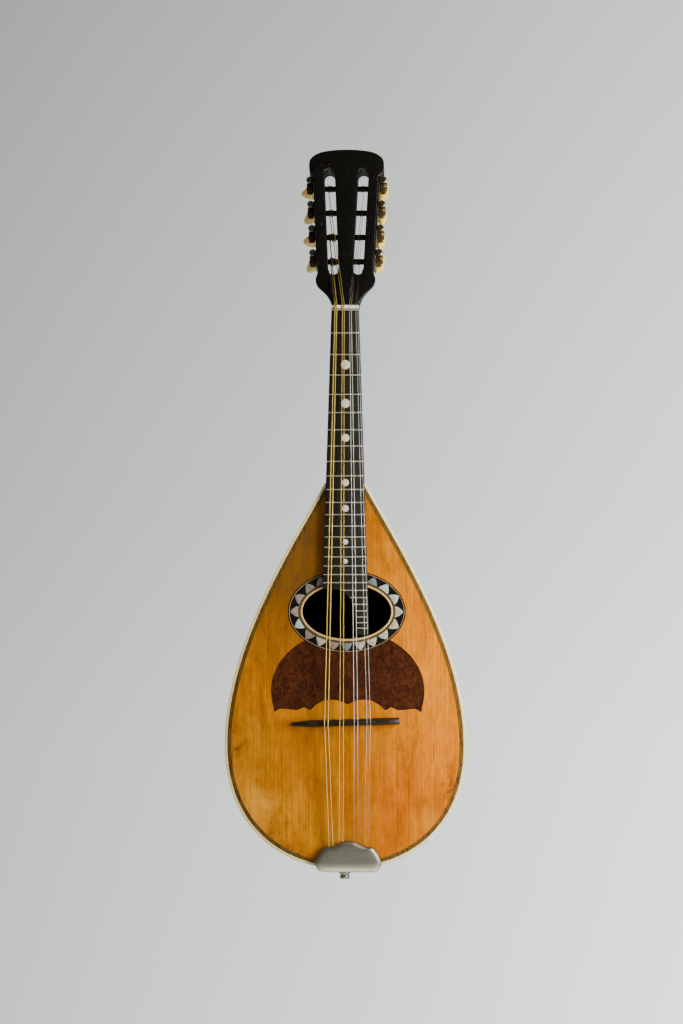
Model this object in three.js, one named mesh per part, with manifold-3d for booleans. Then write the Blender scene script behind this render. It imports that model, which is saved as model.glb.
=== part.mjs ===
// Bowl back mandolin, in millimetres.
// +Z runs up the neck, +X is to the right of someone facing the soundboard, and the bowl swells to +Y.
// The origin is on the centre line under the zero fret, in the plane of the soundboard's front.
import * as THREE from 'three';
import { mergeVertices } from 'three/addons/utils/BufferGeometryUtils.js';
import Module from 'manifold-3d';

const wasm = await Module();
wasm.setup();

// Fits
const seamGap = 0.2;
const seatGap = 0.3;
const runningGap = 0.35;
const cutOverrun = 3;

// Scale and frets
const scaleLength = 330;
const fretCount = 26;
const fretsPerOctave = 12;
const fretHeight = 1;
const fretWidth = 1.2;
const fretInset = 0.4;

function fretDrop(number) {
  return scaleLength * (1 - 2 ** (-number / fretsPerOctave));
}

// Body outline, seen from the front: a flank curve from shoulder to widest point, then a tail curve
const jointFretCount = 10;
const jointRise = 5.2;
const shoulderDrop = fretDrop(jointFretCount) - jointRise;
const shoulderHalfWidth = 16.5;
const shoulderFlareWidth = 26;
const shoulderFlareDrop = 48;
const widestBelowShoulder = 212.4;
const widestDrop = shoulderDrop + widestBelowShoulder;
const widestHalfWidth = 97.6;
const flankRise = 82;
const flankFall = 71.5;
const tailBelowWidest = 101;
const tailDrop = widestDrop + tailBelowWidest;
const tailReach = 46.5;
const flankSteps = 11;
const tailSteps = 9;
const slopeStep = 0.03;

// Bowl: side walls that stand straight back from the rim, and a dome behind them
const domeDepthShare = 1.18;
const shoulderWallDepth = 9;
const bodyWallDepth = 25;
const ribThickness = 2.2;
const ribInset = 0.6;
const ribCount = 7;
const ribDomeSteps = 2;
const ribEndShare = 0.96;

// Soundboard, its edge and what is let into it
const boardThickness = 3;
const bridgeSetback = 2.9;
const bridgeDrop = scaleLength + bridgeSetback;
const cantAngle = THREE.MathUtils.degToRad(5);
const bindingWidth = 2.2;
const inlayThickness = 1;
const fullFretCount = 19;
const boardOverhang = 4.4;
const boardEndDrop = fretDrop(fullFretCount) + boardOverhang;
const holeBelowBoard = 19.1;
const holeDrop = boardEndDrop + holeBelowBoard;
const holeOffset = 1.2;
const holeHalfWidth = 35.6;
const holeHalfHeight = 21.9;
const holeRingWidth = 1.8;
const rosetteLandWidth = 1.7;
const rosetteSideWidth = 8;
const rosetteTopWidth = 7.6;
const rosetteLand = holeRingWidth + rosetteLandWidth;
const rosetteHalfWidth = holeHalfWidth + rosetteLand + rosetteSideWidth;
const rosetteHalfHeight = holeHalfHeight + rosetteLand + rosetteTopWidth;
const ellipseSteps = 32;

// Pickguard: the lower part of an oval round the rosette, with a scalloped lower edge
const guardOffset = 2;
const guardHalfWidth = 62;
const guardHalfHeight = 49.5;
const guardBelowHole = 64.1;
const guardDrop = holeDrop + guardBelowHole;
const guardStandOff = 0.9;
const guardTipShare = 0.968;
const guardTipHalfWidth = guardHalfWidth * guardTipShare;
const scallopBase = 17;
const scallopHeight = 9.8;
const scallopShares = [
  [0.985, 0.02], [0.913, 0.26], [0.805, 0.22], [0.68, 0.15], [0.577, 0.41], [0.507, 0.17],
  [0.42, 0.61], [0.3, 0.97], [0.175, 1], [0.087, 0.88],
];
const scallopMiddleShare = 0.63;

// Neck and heel
const nutHalfWidth = 11.1;
const neckDepth = 17.5;
const neckWallShare = 0.3;
const neckSteps = 8;
const heelShares = [[0, 0], [0.3, 0.02], [0.6, 0.1], [0.78, 0.2], [0.88, 0.36], [0.95, 0.62], [1, 1]];

// Fingerboard
const boardEndHalfWidth = 18.3;
const fingerboardThickness = 3.5;
const fingerboardLip = 0.9;
const tongueOverhang = 6;
const tongueDrop = fretDrop(fretCount) + tongueOverhang;
const tongueInner = 9;
const tongueOuter = 19;
const tongueShares = [[0.2, 0.04], [0.51, 0.045], [0.78, 0.2], [0.88, 0.34], [0.955, 0.48], [0.99, 0.6]];
const tongueRound = 5;
const tongueRoundSteps = 6;

// Nut and the flat that it stands on
const nutLength = 2.6;
const nutShelf = 0.5;

// Head, in its own turned frame: +Z up the head, +Y into it from the front face
const headTilt = THREE.MathUtils.degToRad(16);
const headLength = 139.8;
const headHalfWidth = 30.7;
const headThickness = 18.5;
const veneerThickness = 1.2;
const headRootShares = [
  [0.351, -0.02], [0.349, 0.038], [0.428, 0.074], [0.531, 0.104],
  [0.725, 0.1445], [0.791, 0.186], [0.75, 0.225],
];
const headSideShares = { low: [0.723, 0.265], high: [0.85, 0.837] };
const headSideLowWidth = headHalfWidth * headSideShares.low[0];
const headSideLow = headLength * headSideShares.low[1];
const headSideHighWidth = headHalfWidth * headSideShares.high[0];
const headSideHigh = headLength * headSideShares.high[1];
const headCrownShares = [
  [0.92, 0.847], [0.967, 0.857], [0.997, 0.882], [1, 0.907],
  [0.984, 0.932], [0.899, 0.958], [0.694, 0.983], [0.35, 0.996],
];
const headRootSteps = 12;
const headCrownSteps = 12;

// String slots through the head, and the ramps that lead the strings into them
const slotHalfWidth = 4.3;
const slotBelowSide = 4.4;
const slotLow = headSideLow - slotBelowSide;
const slotAboveSide = 6.4;
const slotHigh = headSideHigh + slotAboveSide;
const slotLowShare = 0.446;
const slotHighShare = 0.54;
const slotLowOffset = headSideLowWidth * slotLowShare;
const slotHighOffset = headSideHighWidth * slotHighShare;
const slotArcSteps = 6;
const rampStart = 12;
const rampStartOffset = 6.4;
const rampStartDepth = 0.3;
const rampEndDepth = 6.5;
const rampInset = 0.6;
const rampHalfWidth = slotHalfWidth - rampInset;

// Tuning machines: a roller with a gear, turned by a worm above it
const machineCount = 4;
const lowRollerRise = 7.9;
const topRollerSetback = 8.5;
const rollerRadius = 2.35;
const rollerSides = 10;
const boreSides = 8;
const rollerSeat = 3;
const gearTeeth = 14;
const gearTipRadius = 4.4;
const toothHeight = 0.65;
const toothTipWidth = 0.45;
const gearWidth = 4.6;
const gearStandOff = 0.6;
const gearScrewRadius = 1.8;
const gearScrewHeight = 0.8;
const wormTipRadius = 2;
const threadHeight = 0.55;
const wormRootRadius = wormTipRadius - threadHeight;
const threadTipWidth = 0.35;
const threadRootWidth = 0.9;
const threadSink = 0.35;
const toothEngagement = 0.35;
const threadTurns = 2;
const stepsPerTurn = 8;
const shaftSides = 8;
const plateThickness = 1.2;
const plateDepth = 10.2;
const plateMargin = 0.5;
const earMargin = 0.1;
const earThickness = 0.9;
const earInset = plateDepth / 2 - earMargin - earThickness;
const earHalfHeight = 2.4;
const earReach = 2.6;
const collarRadius = 3;
const collarThickness = 1.5;
const bossCollarRadius = 3.1;
const bossCollarLength = 3;

// Buttons: flattened ovals on the back ends of the worm shafts
const buttonSetback = 16.3;
const buttonLength = 13;
const buttonHalfWidth = 8.2;
const buttonFlatShare = 0.34;
const bossRadius = 2.7;
const buttonShares = [[0.62, 0.16], [0.92, 0.34], [1, 0.58], [0.86, 0.82], [0.5, 0.96]];
const buttonSegments = 10;
const shaftSeatShare = 0.62;
const buttonRestTurns = { left: [-0.12, -0.01, -0.1, -0.01], right: [-0.19, -0.22, -0.25, -0.2] };

// Bridge
const bridgeLength = 86.8;
const bridgeWidth = 5.5;
const bridgeHeight = 8.3;
const bridgeBlockHeight = 6.4;
const bridgeTipHeight = 3;
const bridgeTaper = 17;
const bridgeSquareEnd = 9;
const bridgeOffset = 0.4;
const bridgeTilt = THREE.MathUtils.degToRad(1.9);
const saddleWidth = 1.8;
const saddleMargin = 3.5;

// Strings, wound on their rollers
const gStringRadius = 0.46;
const dStringRadius = 0.305;
const aStringRadius = 0.18;
const eStringRadius = 0.125;
const stringRadii = { g: gStringRadius, d: dStringRadius, a: aStringRadius, e: eStringRadius };
const courses = ['g', 'd', 'a', 'e'];
const woundCourses = ['g', 'd'];
const pairShares = [-0.5, 0.5];
const stringSides = 5;
const windingLoops = 3;
const windingSteps = 12;
const windingSpace = 0.6;
const leastWindingGap = 0.4;
const courseShares = { g: -0.5, d: -0.14, a: 0.2, e: 0.5 };
const nutSpread = 16.7;
const nutOffset = 0.95;
const nutPairSpacing = 1.5;
const bridgeSpread = 34.2;
const bridgeStringOffset = 2.1;
const bridgePairSpacing = 2.9;
const hookShares = { g: -0.5, d: -0.22, a: 0.22, e: 0.5 };
const hookSpread = 27.6;
const hookOffset = 2.3;
const hookPairSpacing = 3.2;

// Tailpiece and end pin, on the canted part of the soundboard
const hookMargin = 4.6;
const tailPlateWidth = hookSpread + hookPairSpacing + 2 * hookMargin;
const tailPlateThickness = 1.2;
const tailPlateTop = 17;
const skirtWidth = 30;
const hookLength = 2;
const hookWidth = 1.6;
const hookHeight = 2.6;
const hookSetback = 9;
const stringSeatHeight = 2.4;
const coverOffset = 2.1;
const coverHalfWidth = 26.8;
const coverHeight = 26;
const coverFront = 7;
const coverWall = 1;
const coverShares = [
  [0, 1], [0.22, 0.96], [0.43, 0.86], [0.56, 0.81], [0.75, 0.79], [0.9, 0.6],
  [1, 0.36], [0.97, 0.17], [0.76, 0],
];
const mouthMargin = 3.6;
const mouthHalfWidth = (hookSpread + hookPairSpacing) / 2 + mouthMargin;
const pinRadius = 3.2;
const pinHeadRadius = 4;
const pinFlangeRadius = 4.8;
const pinFlangeLength = 1.8;
const pinFaceRadius = 3.4;
const pinHeadLength = 6.4;
const pinOffset = -1;
const pinRise = 4;
const pinDepth = bodyWallDepth - pinRise;
const skirtBelowPin = 13;
const pinBite = 20;
const pinSides = 14;
const collarSides = 12;

// Blocks and braces inside, and the clasp round the tail
const neckBlockLength = 24;
const tailBlockLength = 22;
const tailBlockHalfWidth = 34;
const braceWidth = 7;
const braceDepth = 11;
const upperBraceRise = 30.4;
const lowerBraceFall = 47.6;
const braceDrops = { upper: holeDrop - upperBraceRise, lower: holeDrop + lowerBraceFall };
const claspThickness = 0.8;
const claspStartShare = 0.5;
const claspMargin = 0.5;
const claspDepth = bodyWallDepth - claspMargin;

// Finishes
const finish = {
  spruce: [0xd08a32, 0.45, 0], ebony: [0x14100e, 0.35, 0], rosewood: [0x3a1d12, 0.35, 0],
  ribwood: [0x5a2c16, 0.32, 0], ivory: [0xe6d9b4, 0.4, 0], bone: [0xf0e8d4, 0.45, 0],
  guard: [0x4b1e0c, 0.25, 0], nickel: [0x8f8c80, 0.3, 1], brass: [0x8a6a35, 0.4, 1],
  steel: [0xb9bab8, 0.25, 1], bronze: [0xb8924a, 0.35, 1], blockwood: [0xc9a877, 0.7, 0],
};

const part = new THREE.Group();
const headFrame = new THREE.Group();
headFrame.rotation.x = -headTilt;
const cantFrame = new THREE.Group();
cantFrame.position.z = -bridgeDrop;
cantFrame.rotation.x = cantAngle;
const bridgeFrame = new THREE.Group();
bridgeFrame.position.z = -bridgeDrop;
bridgeFrame.rotation.y = -bridgeTilt;
part.add(headFrame, cantFrame, bridgeFrame);

function addPiece(name, geometry, surface, parent = part) {
  const [color, roughness, metalness] = finish[surface];
  const material = new THREE.MeshStandardMaterial({ color, roughness, metalness });
  const piece = new THREE.Mesh(geometry, material);
  piece.name = name;
  parent.add(piece);
  return piece;
}

// Solids: closed geometry in and out of the boolean library
function toSolid(geometry) {
  const bare = geometry.clone();
  bare.deleteAttribute('normal');
  bare.deleteAttribute('uv');
  const merged = mergeVertices(bare);
  const triVerts = new Uint32Array(merged.index.array);
  const vertProperties = new Float32Array(merged.attributes.position.array);
  return new wasm.Manifold(new wasm.Mesh({ numProp: 3, vertProperties, triVerts }));
}

function toGeometry(solid) {
  const mesh = solid.getMesh();
  const geometry = new THREE.BufferGeometry();
  geometry.setAttribute('position', new THREE.BufferAttribute(mesh.vertProperties, 3));
  geometry.setIndex(new THREE.BufferAttribute(mesh.triVerts, 1));
  geometry.computeVertexNormals();
  return geometry;
}

function joined(...geometries) {
  return toGeometry(geometries.map(toSolid).reduce((sum, next) => sum.add(next)));
}

function cut(geometry, ...cutters) {
  return toGeometry(cutters.map(toSolid).reduce((rest, cutter) => rest.subtract(cutter), toSolid(geometry)));
}

function common(first, second) {
  return toGeometry(toSolid(first).intersect(toSolid(second)));
}

// Closed body from rings of the same number of points, its ends filled by rungs across each ring
function loft(rings) {
  const size = rings[0].length;
  const positions = rings.flat().flatMap((point) => [point.x, point.y, point.z]);
  const index = [];
  for (let ring = 0; ring < rings.length - 1; ring += 1) {
    for (let side = 0; side < size; side += 1) {
      const a = ring * size + side;
      const b = ring * size + (side + 1) % size;
      index.push(a, b, b + size, a, b + size, a + size);
    }
  }
  const last = (rings.length - 1) * size;
  for (let rung = 0; rung < size / 2 - 1; rung += 1) {
    const opposite = size - 1 - rung;
    index.push(rung, opposite, opposite - 1, rung, opposite - 1, rung + 1);
    index.push(last + rung, last + opposite - 1, last + opposite);
    index.push(last + rung, last + rung + 1, last + opposite - 1);
  }
  return faceOutward(positions, index);
}

function faceOutward(positions, index) {
  let volume = 0;
  const corner = (i) => new THREE.Vector3().fromArray(positions, index[i] * 3);
  for (let i = 0; i < index.length; i += 3) {
    volume += corner(i).dot(corner(i + 1).cross(corner(i + 2)));
  }
  const geometry = new THREE.BufferGeometry();
  geometry.setAttribute('position', new THREE.Float32BufferAttribute(positions, 3));
  geometry.setIndex(volume < 0 ? index.reverse() : index);
  geometry.computeVertexNormals();
  return geometry;
}

// Prism of an outline drawn in X and Z, from y = front to y = back
function plate(points, front, back) {
  const shape = new THREE.Shape(points);
  const geometry = new THREE.ExtrudeGeometry(shape, { depth: back - front, bevelEnabled: false });
  return geometry.rotateX(Math.PI / 2).translate(0, back, 0);
}

// Prism of an outline drawn in Y and Z, from x = left to x = right
function bar(points, left, right) {
  const shape = new THREE.Shape(points);
  const geometry = new THREE.ExtrudeGeometry(shape, { depth: right - left, bevelEnabled: false });
  const turn = new THREE.Matrix4().makeBasis(
    new THREE.Vector3(0, 1, 0), new THREE.Vector3(0, 0, 1), new THREE.Vector3(1, 0, 0),
  );
  return geometry.applyMatrix4(turn).translate(left, 0, 0);
}

function block(left, right, front, back, low, high) {
  const geometry = new THREE.BoxGeometry(right - left, back - front, high - low);
  return geometry.translate((left + right) / 2, (front + back) / 2, (low + high) / 2);
}

function rodX(radius, left, right, y, z, sides = rollerSides) {
  const geometry = new THREE.CylinderGeometry(radius, radius, right - left, sides);
  return geometry.rotateZ(-Math.PI / 2).translate((left + right) / 2, y, z);
}

function rodY(radius, front, back, x, z, sides = rollerSides) {
  const geometry = new THREE.CylinderGeometry(radius, radius, back - front, sides);
  return geometry.translate(x, (front + back) / 2, z);
}

// Radius of the polygon whose flats lie just outside a circle of that radius
function boreRadius(radius, sides) {
  return radius / Math.cos(Math.PI / sides);
}

function ellipse(offset, drop, halfWidth, halfHeight, steps = ellipseSteps) {
  const points = [];
  for (let i = 0; i < steps; i += 1) {
    const turn = (i / steps) * Math.PI * 2;
    points.push(new THREE.Vector2(offset + halfWidth * Math.cos(turn), -drop + halfHeight * Math.sin(turn)));
  }
  return points;
}

function smooth(share) {
  const t = THREE.MathUtils.clamp(share, 0, 1);
  return t * t * (3 - 2 * t);
}

// Body outline: share 0 at the shoulder, 1 at the widest point, 2 at the tail
const flankCurve = new THREE.CubicBezierCurve(
  new THREE.Vector2(shoulderHalfWidth, -shoulderDrop),
  new THREE.Vector2(shoulderHalfWidth + shoulderFlareWidth, -shoulderDrop - shoulderFlareDrop),
  new THREE.Vector2(widestHalfWidth, -widestDrop + flankRise),
  new THREE.Vector2(widestHalfWidth, -widestDrop),
);
const tailCurve = new THREE.CubicBezierCurve(
  new THREE.Vector2(widestHalfWidth, -widestDrop),
  new THREE.Vector2(widestHalfWidth, -widestDrop - flankFall),
  new THREE.Vector2(tailReach, -tailDrop),
  new THREE.Vector2(0, -tailDrop),
);

function wallDepthAt(z) {
  const share = (-z - shoulderDrop) / (widestDrop - shoulderDrop);
  return shoulderWallDepth + (bodyWallDepth - shoulderWallDepth) * smooth(share);
}

function outlineAt(share) {
  const curve = share <= 1 ? flankCurve : tailCurve;
  const t = share <= 1 ? share : share - 1;
  const point = curve.getPoint(t);
  const tangent = curve.getTangent(t);
  const deeper = wallDepthAt(point.y + tangent.y * slopeStep) - wallDepthAt(point.y);
  return { width: point.x, z: point.y, alongX: tangent.x, alongZ: tangent.y, wallSlope: deeper / slopeStep };
}

// Drop of the soundboard's plane below the bridge, where it is bent back
function cantAt(z) {
  return Math.max(0, (-z - bridgeDrop) * Math.tan(cantAngle));
}

// Point of the bowl at a share of the outline and a turn round the dome: 0 right, half a turn left
function bowlPoint(station, turn, inset) {
  const { width, z, alongX, alongZ, wallSlope } = station;
  const across = Math.cos(turn);
  const deep = Math.sin(turn);
  const outward = new THREE.Vector3(
    -domeDepthShare * across * alongZ,
    -deep * alongZ,
    wallSlope * deep + domeDepthShare * alongX,
  ).normalize();
  const surface = new THREE.Vector3(width * across, wallDepthAt(z) + domeDepthShare * width * deep, z);
  return surface.addScaledVector(outward, -inset);
}

function rimPoint(station, side, inset, y) {
  const point = bowlPoint(station, side > 0 ? 0 : Math.PI, inset);
  point.y = y === undefined ? boardThickness + seatGap + cantAt(point.z) : y;
  return point;
}

function outlineShares(start, end) {
  const shares = [];
  for (let i = 0; i <= flankSteps; i += 1) shares.push(i / flankSteps);
  for (let i = 1; i <= tailSteps; i += 1) shares.push(1 + i / tailSteps);
  return [start, ...shares.filter((share) => share > start && share < end), end];
}

// One rib of the bowl, a curved shell between two turns round the dome
function makeRib(number) {
  const firstTurn = (Math.PI * number) / ribCount;
  const lastTurn = (Math.PI * (number + 1)) / ribCount;
  const rings = outlineShares(0, 1 + ribEndShare).map((share) => {
    const station = outlineAt(share);
    const sideOfSeam = seamGap / 2 / station.width;
    const ring = (inset) => {
      const points = [];
      if (number === 0) points.push(rimPoint(station, 1, inset));
      for (let i = 0; i <= ribDomeSteps; i += 1) {
        const start = number === 0 ? firstTurn : firstTurn + sideOfSeam;
        const end = number === ribCount - 1 ? lastTurn : lastTurn - sideOfSeam;
        points.push(bowlPoint(station, start + ((end - start) * i) / ribDomeSteps, inset));
      }
      if (number === ribCount - 1) points.push(rimPoint(station, -1, inset));
      return points;
    };
    return [...ring(ribInset), ...ring(ribInset + ribThickness).reverse()];
  });
  return loft(rings);
}

// Solid that fills the bowl to within an inset of its outer face, closed by the soundboard's back
function makeCavity(inset) {
  const turns = ribCount * 2;
  const rings = outlineShares(0, 1 + ribEndShare).map((share) => {
    const station = outlineAt(share);
    const ring = [rimPoint(station, 1, inset)];
    for (let i = 0; i <= turns; i += 1) ring.push(bowlPoint(station, (Math.PI * i) / turns, inset));
    ring.push(rimPoint(station, -1, inset));
    return ring.length % 2 ? [...ring, ring[ring.length - 1].clone().lerp(ring[0], 0.5)] : ring;
  });
  return loft(rings);
}

// Stations of the whole rim from the right shoulder round the tail to the left one
function rimStations(start) {
  const right = outlineShares(start, 2).map((share) => ({ station: outlineAt(share), side: 1 }));
  const left = right.slice(0, -1).reverse().map(({ station }) => ({ station, side: -1 }));
  return [...right, ...left];
}

// Strip that follows the rim between two insets, with its front and back at given depths
function rimStrip(start, outer, inner, frontAt, backAt) {
  const rings = rimStations(start).map(({ station, side }) => {
    const out = rimPoint(station, side, outer, 0);
    const into = rimPoint(station, side, inner, 0);
    const corner = (point, depthAt) => new THREE.Vector3(point.x, depthAt(point.z), point.z);
    return [corner(out, frontAt), corner(out, backAt), corner(into, backAt), corner(into, frontAt)];
  });
  return loft(rings);
}

function makeSoundboard() {
  const edge = bindingWidth + seatGap;
  const outline = rimStations(0).map(({ station, side }) => {
    const point = rimPoint(station, side, edge, 0);
    return new THREE.Vector2(point.x, point.z);
  });
  const deepest = boardThickness + cantAt(-tailDrop) + cutOverrun;
  const top = -shoulderDrop + cutOverrun;
  const bottom = -tailDrop - cutOverrun;
  const sheet = bar([
    new THREE.Vector2(0, top), new THREE.Vector2(0, -bridgeDrop),
    new THREE.Vector2(cantAt(bottom), bottom), new THREE.Vector2(boardThickness + cantAt(bottom), bottom),
    new THREE.Vector2(boardThickness, -bridgeDrop),
    new THREE.Vector2(boardThickness, top),
  ], -widestHalfWidth, widestHalfWidth);
  const board = common(plate(outline, -cutOverrun, deepest), sheet);
  const ringOuter = holeRingWidth + seatGap;
  const hole = plate(
    ellipse(holeOffset, holeDrop, holeHalfWidth + ringOuter, holeHalfHeight + ringOuter),
    -cutOverrun, boardThickness + cutOverrun,
  );
  const recess = inlayThickness + seatGap;
  const rosetteRecess = ovalRing(rosetteLand - seatGap, seatGap, -cutOverrun, recess);
  const guardRecess = plate(guardOutline(seatGap), -cutOverrun, recess);
  const guardCutter = cut(guardRecess, rosetteFill(guardStandOff - seatGap));
  return cut(board, hole, rosetteRecess, guardCutter);
}

// Oval ring from a band round the soundhole out to the rosette's edge, each grown by a margin
function ovalRing(innerBand, outerGrowth, front, back) {
  const outer = ellipse(
    holeOffset, holeDrop, rosetteHalfWidth + outerGrowth, rosetteHalfHeight + outerGrowth,
  );
  const inner = ellipse(holeOffset, holeDrop, holeHalfWidth + innerBand, holeHalfHeight + innerBand);
  return cut(plate(outer, front, back), plate(inner, front - cutOverrun, back + cutOverrun));
}

// Solid over the whole rosette, grown past its edge, that cuts the pickguard back from it
function rosetteFill(growth) {
  const outline = ellipse(holeOffset, holeDrop, rosetteHalfWidth + growth, rosetteHalfHeight + growth);
  return plate(outline, -2 * cutOverrun, 2 * cutOverrun);
}

function guardOutline(growth) {
  const points = [];
  const tipTurn = Math.acos(guardTipHalfWidth / guardHalfWidth);
  const steps = ellipseSteps / 2;
  for (let i = 0; i <= steps; i += 1) {
    const turn = -tipTurn + ((Math.PI + 2 * tipTurn) * i) / steps;
    points.push(new THREE.Vector2(
      guardOffset + (guardHalfWidth + growth) * Math.cos(turn),
      -guardDrop + (guardHalfHeight + growth) * Math.sin(turn),
    ));
  }
  const scallop = ([across, up], side) => new THREE.Vector2(
    guardOffset + side * across * guardTipHalfWidth,
    -guardDrop - scallopBase + up * scallopHeight - growth,
  );
  points.push(...scallopShares.map((share) => scallop(share, -1)));
  points.push(scallop([0, scallopMiddleShare], 1));
  points.push(...[...scallopShares].reverse().map((share) => scallop(share, 1)));
  return points;
}

function makeBody() {
  addPiece('soundboard', makeSoundboard(), 'spruce');
  const bindingBack = (z) => boardThickness + cantAt(z);
  addPiece('binding', rimStrip(0, 0, bindingWidth, cantAt, bindingBack), 'ivory');
  const ringOuter = ellipse(
    holeOffset, holeDrop, holeHalfWidth + holeRingWidth, holeHalfHeight + holeRingWidth,
  );
  const ringInner = ellipse(holeOffset, holeDrop, holeHalfWidth, holeHalfHeight);
  const ringHole = plate(ringInner, -cutOverrun, boardThickness + cutOverrun);
  const ring = cut(plate(ringOuter, 0, boardThickness), ringHole);
  addPiece('soundhole_ring', ring, 'ivory');
  addPiece('rosette', ovalRing(rosetteLand, 0, 0, inlayThickness), 'ebony');
  const guard = cut(plate(guardOutline(0), 0, inlayThickness), rosetteFill(guardStandOff));
  addPiece('pickguard', guard, 'guard');
  for (let number = 0; number < ribCount; number += 1) {
    addPiece(`rib_${number + 1}`, makeRib(number), 'ribwood');
  }
  const claspOuter = ribInset - seatGap - claspThickness;
  const claspBack = () => claspDepth;
  const clasp = rimStrip(1 + claspStartShare, claspOuter, ribInset - seatGap,
    (z) => boardThickness + seatGap + cantAt(z), claspBack);
  addPiece('end_clasp', cut(clasp, pinBore()), 'rosewood');
}

function pinBore() {
  const radius = boreRadius(pinRadius + seatGap, pinSides);
  const geometry = new THREE.CylinderGeometry(radius, radius, 2 * pinBite, pinSides);
  return geometry.rotateX(Math.PI / 2).translate(pinOffset, pinDepth, -tailDrop + seatGap);
}

function makeInside() {
  const filled = makeCavity(ribInset + ribThickness + seatGap);
  const deepest = bodyWallDepth + domeDepthShare * widestHalfWidth;
  const slice = (low, high, halfWidth, back) => common(
    filled, block(-halfWidth, halfWidth, 0, back, low, high),
  );
  const blockTop = -shoulderDrop - seatGap;
  addPiece('neck_block', slice(blockTop - neckBlockLength, blockTop, widestHalfWidth, deepest), 'blockwood');
  const tailBlock = slice(-tailDrop, -tailDrop + tailBlockLength, tailBlockHalfWidth, bodyWallDepth * 2);
  addPiece('tail_block', cut(tailBlock, pinBore()), 'blockwood');
  const braceBack = boardThickness + seatGap + braceDepth;
  for (const [name, drop] of Object.entries(braceDrops)) {
    const brace = slice(-drop - braceWidth / 2, -drop + braceWidth / 2, widestHalfWidth, braceBack);
    addPiece(`brace_${name}`, brace, 'blockwood');
  }
}

function boardHalfWidthAt(z) {
  return nutHalfWidth + ((boardEndHalfWidth - nutHalfWidth) * -z) / boardEndDrop;
}

// D shaped section of the neck, flat towards the fingerboard
function neckSection(z, depth) {
  const halfWidth = boardHalfWidthAt(z);
  const wall = depth * neckWallShare;
  const ring = [new THREE.Vector3(halfWidth, 0, z)];
  for (let i = 0; i <= neckSteps; i += 1) {
    const turn = (Math.PI * i) / neckSteps;
    ring.push(new THREE.Vector3(halfWidth * Math.cos(turn), wall + (depth - wall) * Math.sin(turn), z));
  }
  ring.push(new THREE.Vector3(-halfWidth, 0, z));
  return ring.length % 2 ? [...ring, new THREE.Vector3(0, 0, z)] : ring;
}

const neckTop = fingerboardLip + seatGap + nutLength + nutShelf;

function makeNeckShaft() {
  const heelDepth = shoulderWallDepth + domeDepthShare * shoulderHalfWidth;
  const length = shoulderDrop - seatGap + neckTop;
  return loft(heelShares.map(([along, heel]) => (
    neckSection(neckTop - along * length, neckDepth + (heelDepth - neckDepth) * heel)
  )));
}

// Outline of the head from its root, up one side and down the other
function headOutline(rootStart) {
  const spot = ([across, up]) => new THREE.Vector2(across * headHalfWidth, up * headLength);
  const sideLow = new THREE.Vector2(headSideLowWidth, headSideLow);
  const sideHigh = new THREE.Vector2(headSideHighWidth, headSideHigh);
  const root = new THREE.SplineCurve([...headRootShares.map(spot), sideLow]).getPoints(headRootSteps);
  const crown = new THREE.SplineCurve([...headCrownShares.map(spot), new THREE.Vector2(0, headLength)]);
  const whole = [...root, sideHigh, ...crown.getPoints(headCrownSteps)];
  const right = whole.filter((point) => point.y >= rootStart);
  const left = right.slice(0, -1).reverse().map((point) => new THREE.Vector2(-point.x, point.y));
  return [...right, ...left];
}

function slotOffsetAt(up) {
  const share = (up - slotLow) / (slotHigh - slotLow);
  return slotLowOffset + (slotHighOffset - slotLowOffset) * share;
}

function slotOutline(side) {
  const points = [];
  const low = slotLow + slotHalfWidth;
  const high = slotHigh - slotHalfWidth;
  for (const [centre, startTurn] of [[high, 0], [low, Math.PI]]) {
    for (let i = 0; i <= slotArcSteps; i += 1) {
      const turn = startTurn + (Math.PI * i) / slotArcSteps;
      points.push(new THREE.Vector2(
        side * slotOffsetAt(centre) + slotHalfWidth * Math.cos(turn),
        centre + slotHalfWidth * Math.sin(turn),
      ));
    }
  }
  return points;
}

function ramp(side) {
  const end = slotLow + slotHalfWidth;
  const section = (up, offset, depth) => [
    new THREE.Vector3(side * offset - rampHalfWidth, -cutOverrun, up),
    new THREE.Vector3(side * offset + rampHalfWidth, -cutOverrun, up),
    new THREE.Vector3(side * offset + rampHalfWidth, depth, up),
    new THREE.Vector3(side * offset - rampHalfWidth, depth, up),
  ];
  return loft([
    section(rampStart, rampStartOffset, rampStartDepth),
    section(end, slotOffsetAt(end), rampEndDepth),
  ]);
}

function headSideAt(up) {
  const share = (up - headSideLow) / (headSideHigh - headSideLow);
  return headSideLowWidth + (headSideHighWidth - headSideLowWidth) * share;
}

// One tuning machine: side is 1 on the right and -1 on the left, number 0 is next to the nut
function machineAt(side, number) {
  const low = headSideLow + lowRollerRise;
  const high = headSideHigh - topRollerSetback;
  const roller = low + ((high - low) * number) / (machineCount - 1);
  const plateOuter = headSideAt(roller) + seatGap + plateThickness;
  const gearInner = plateOuter + gearStandOff;
  const wormLift = gearTipRadius + wormTipRadius - toothEngagement;
  return {
    side,
    roller,
    slot: slotOffsetAt(roller),
    plateOuter,
    gearInner,
    gearOuter: gearInner + gearWidth,
    worm: gearInner + gearWidth / 2,
    wormUp: roller + wormLift,
  };
}

const machines = [-1, 1].flatMap((side) => (
  Array.from({ length: machineCount }, (_, number) => machineAt(side, number))
));
const machineDepth = headThickness / 2;

function rollerBore(machine) {
  const inner = machine.slot - slotHalfWidth - rollerSeat - seatGap;
  const outer = headHalfWidth + cutOverrun;
  const radius = boreRadius(rollerRadius + runningGap, boreSides);
  const [left, right] = machine.side > 0 ? [inner, outer] : [-outer, -inner];
  return rodX(radius, left, right, machineDepth, machine.roller, boreSides);
}

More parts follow.
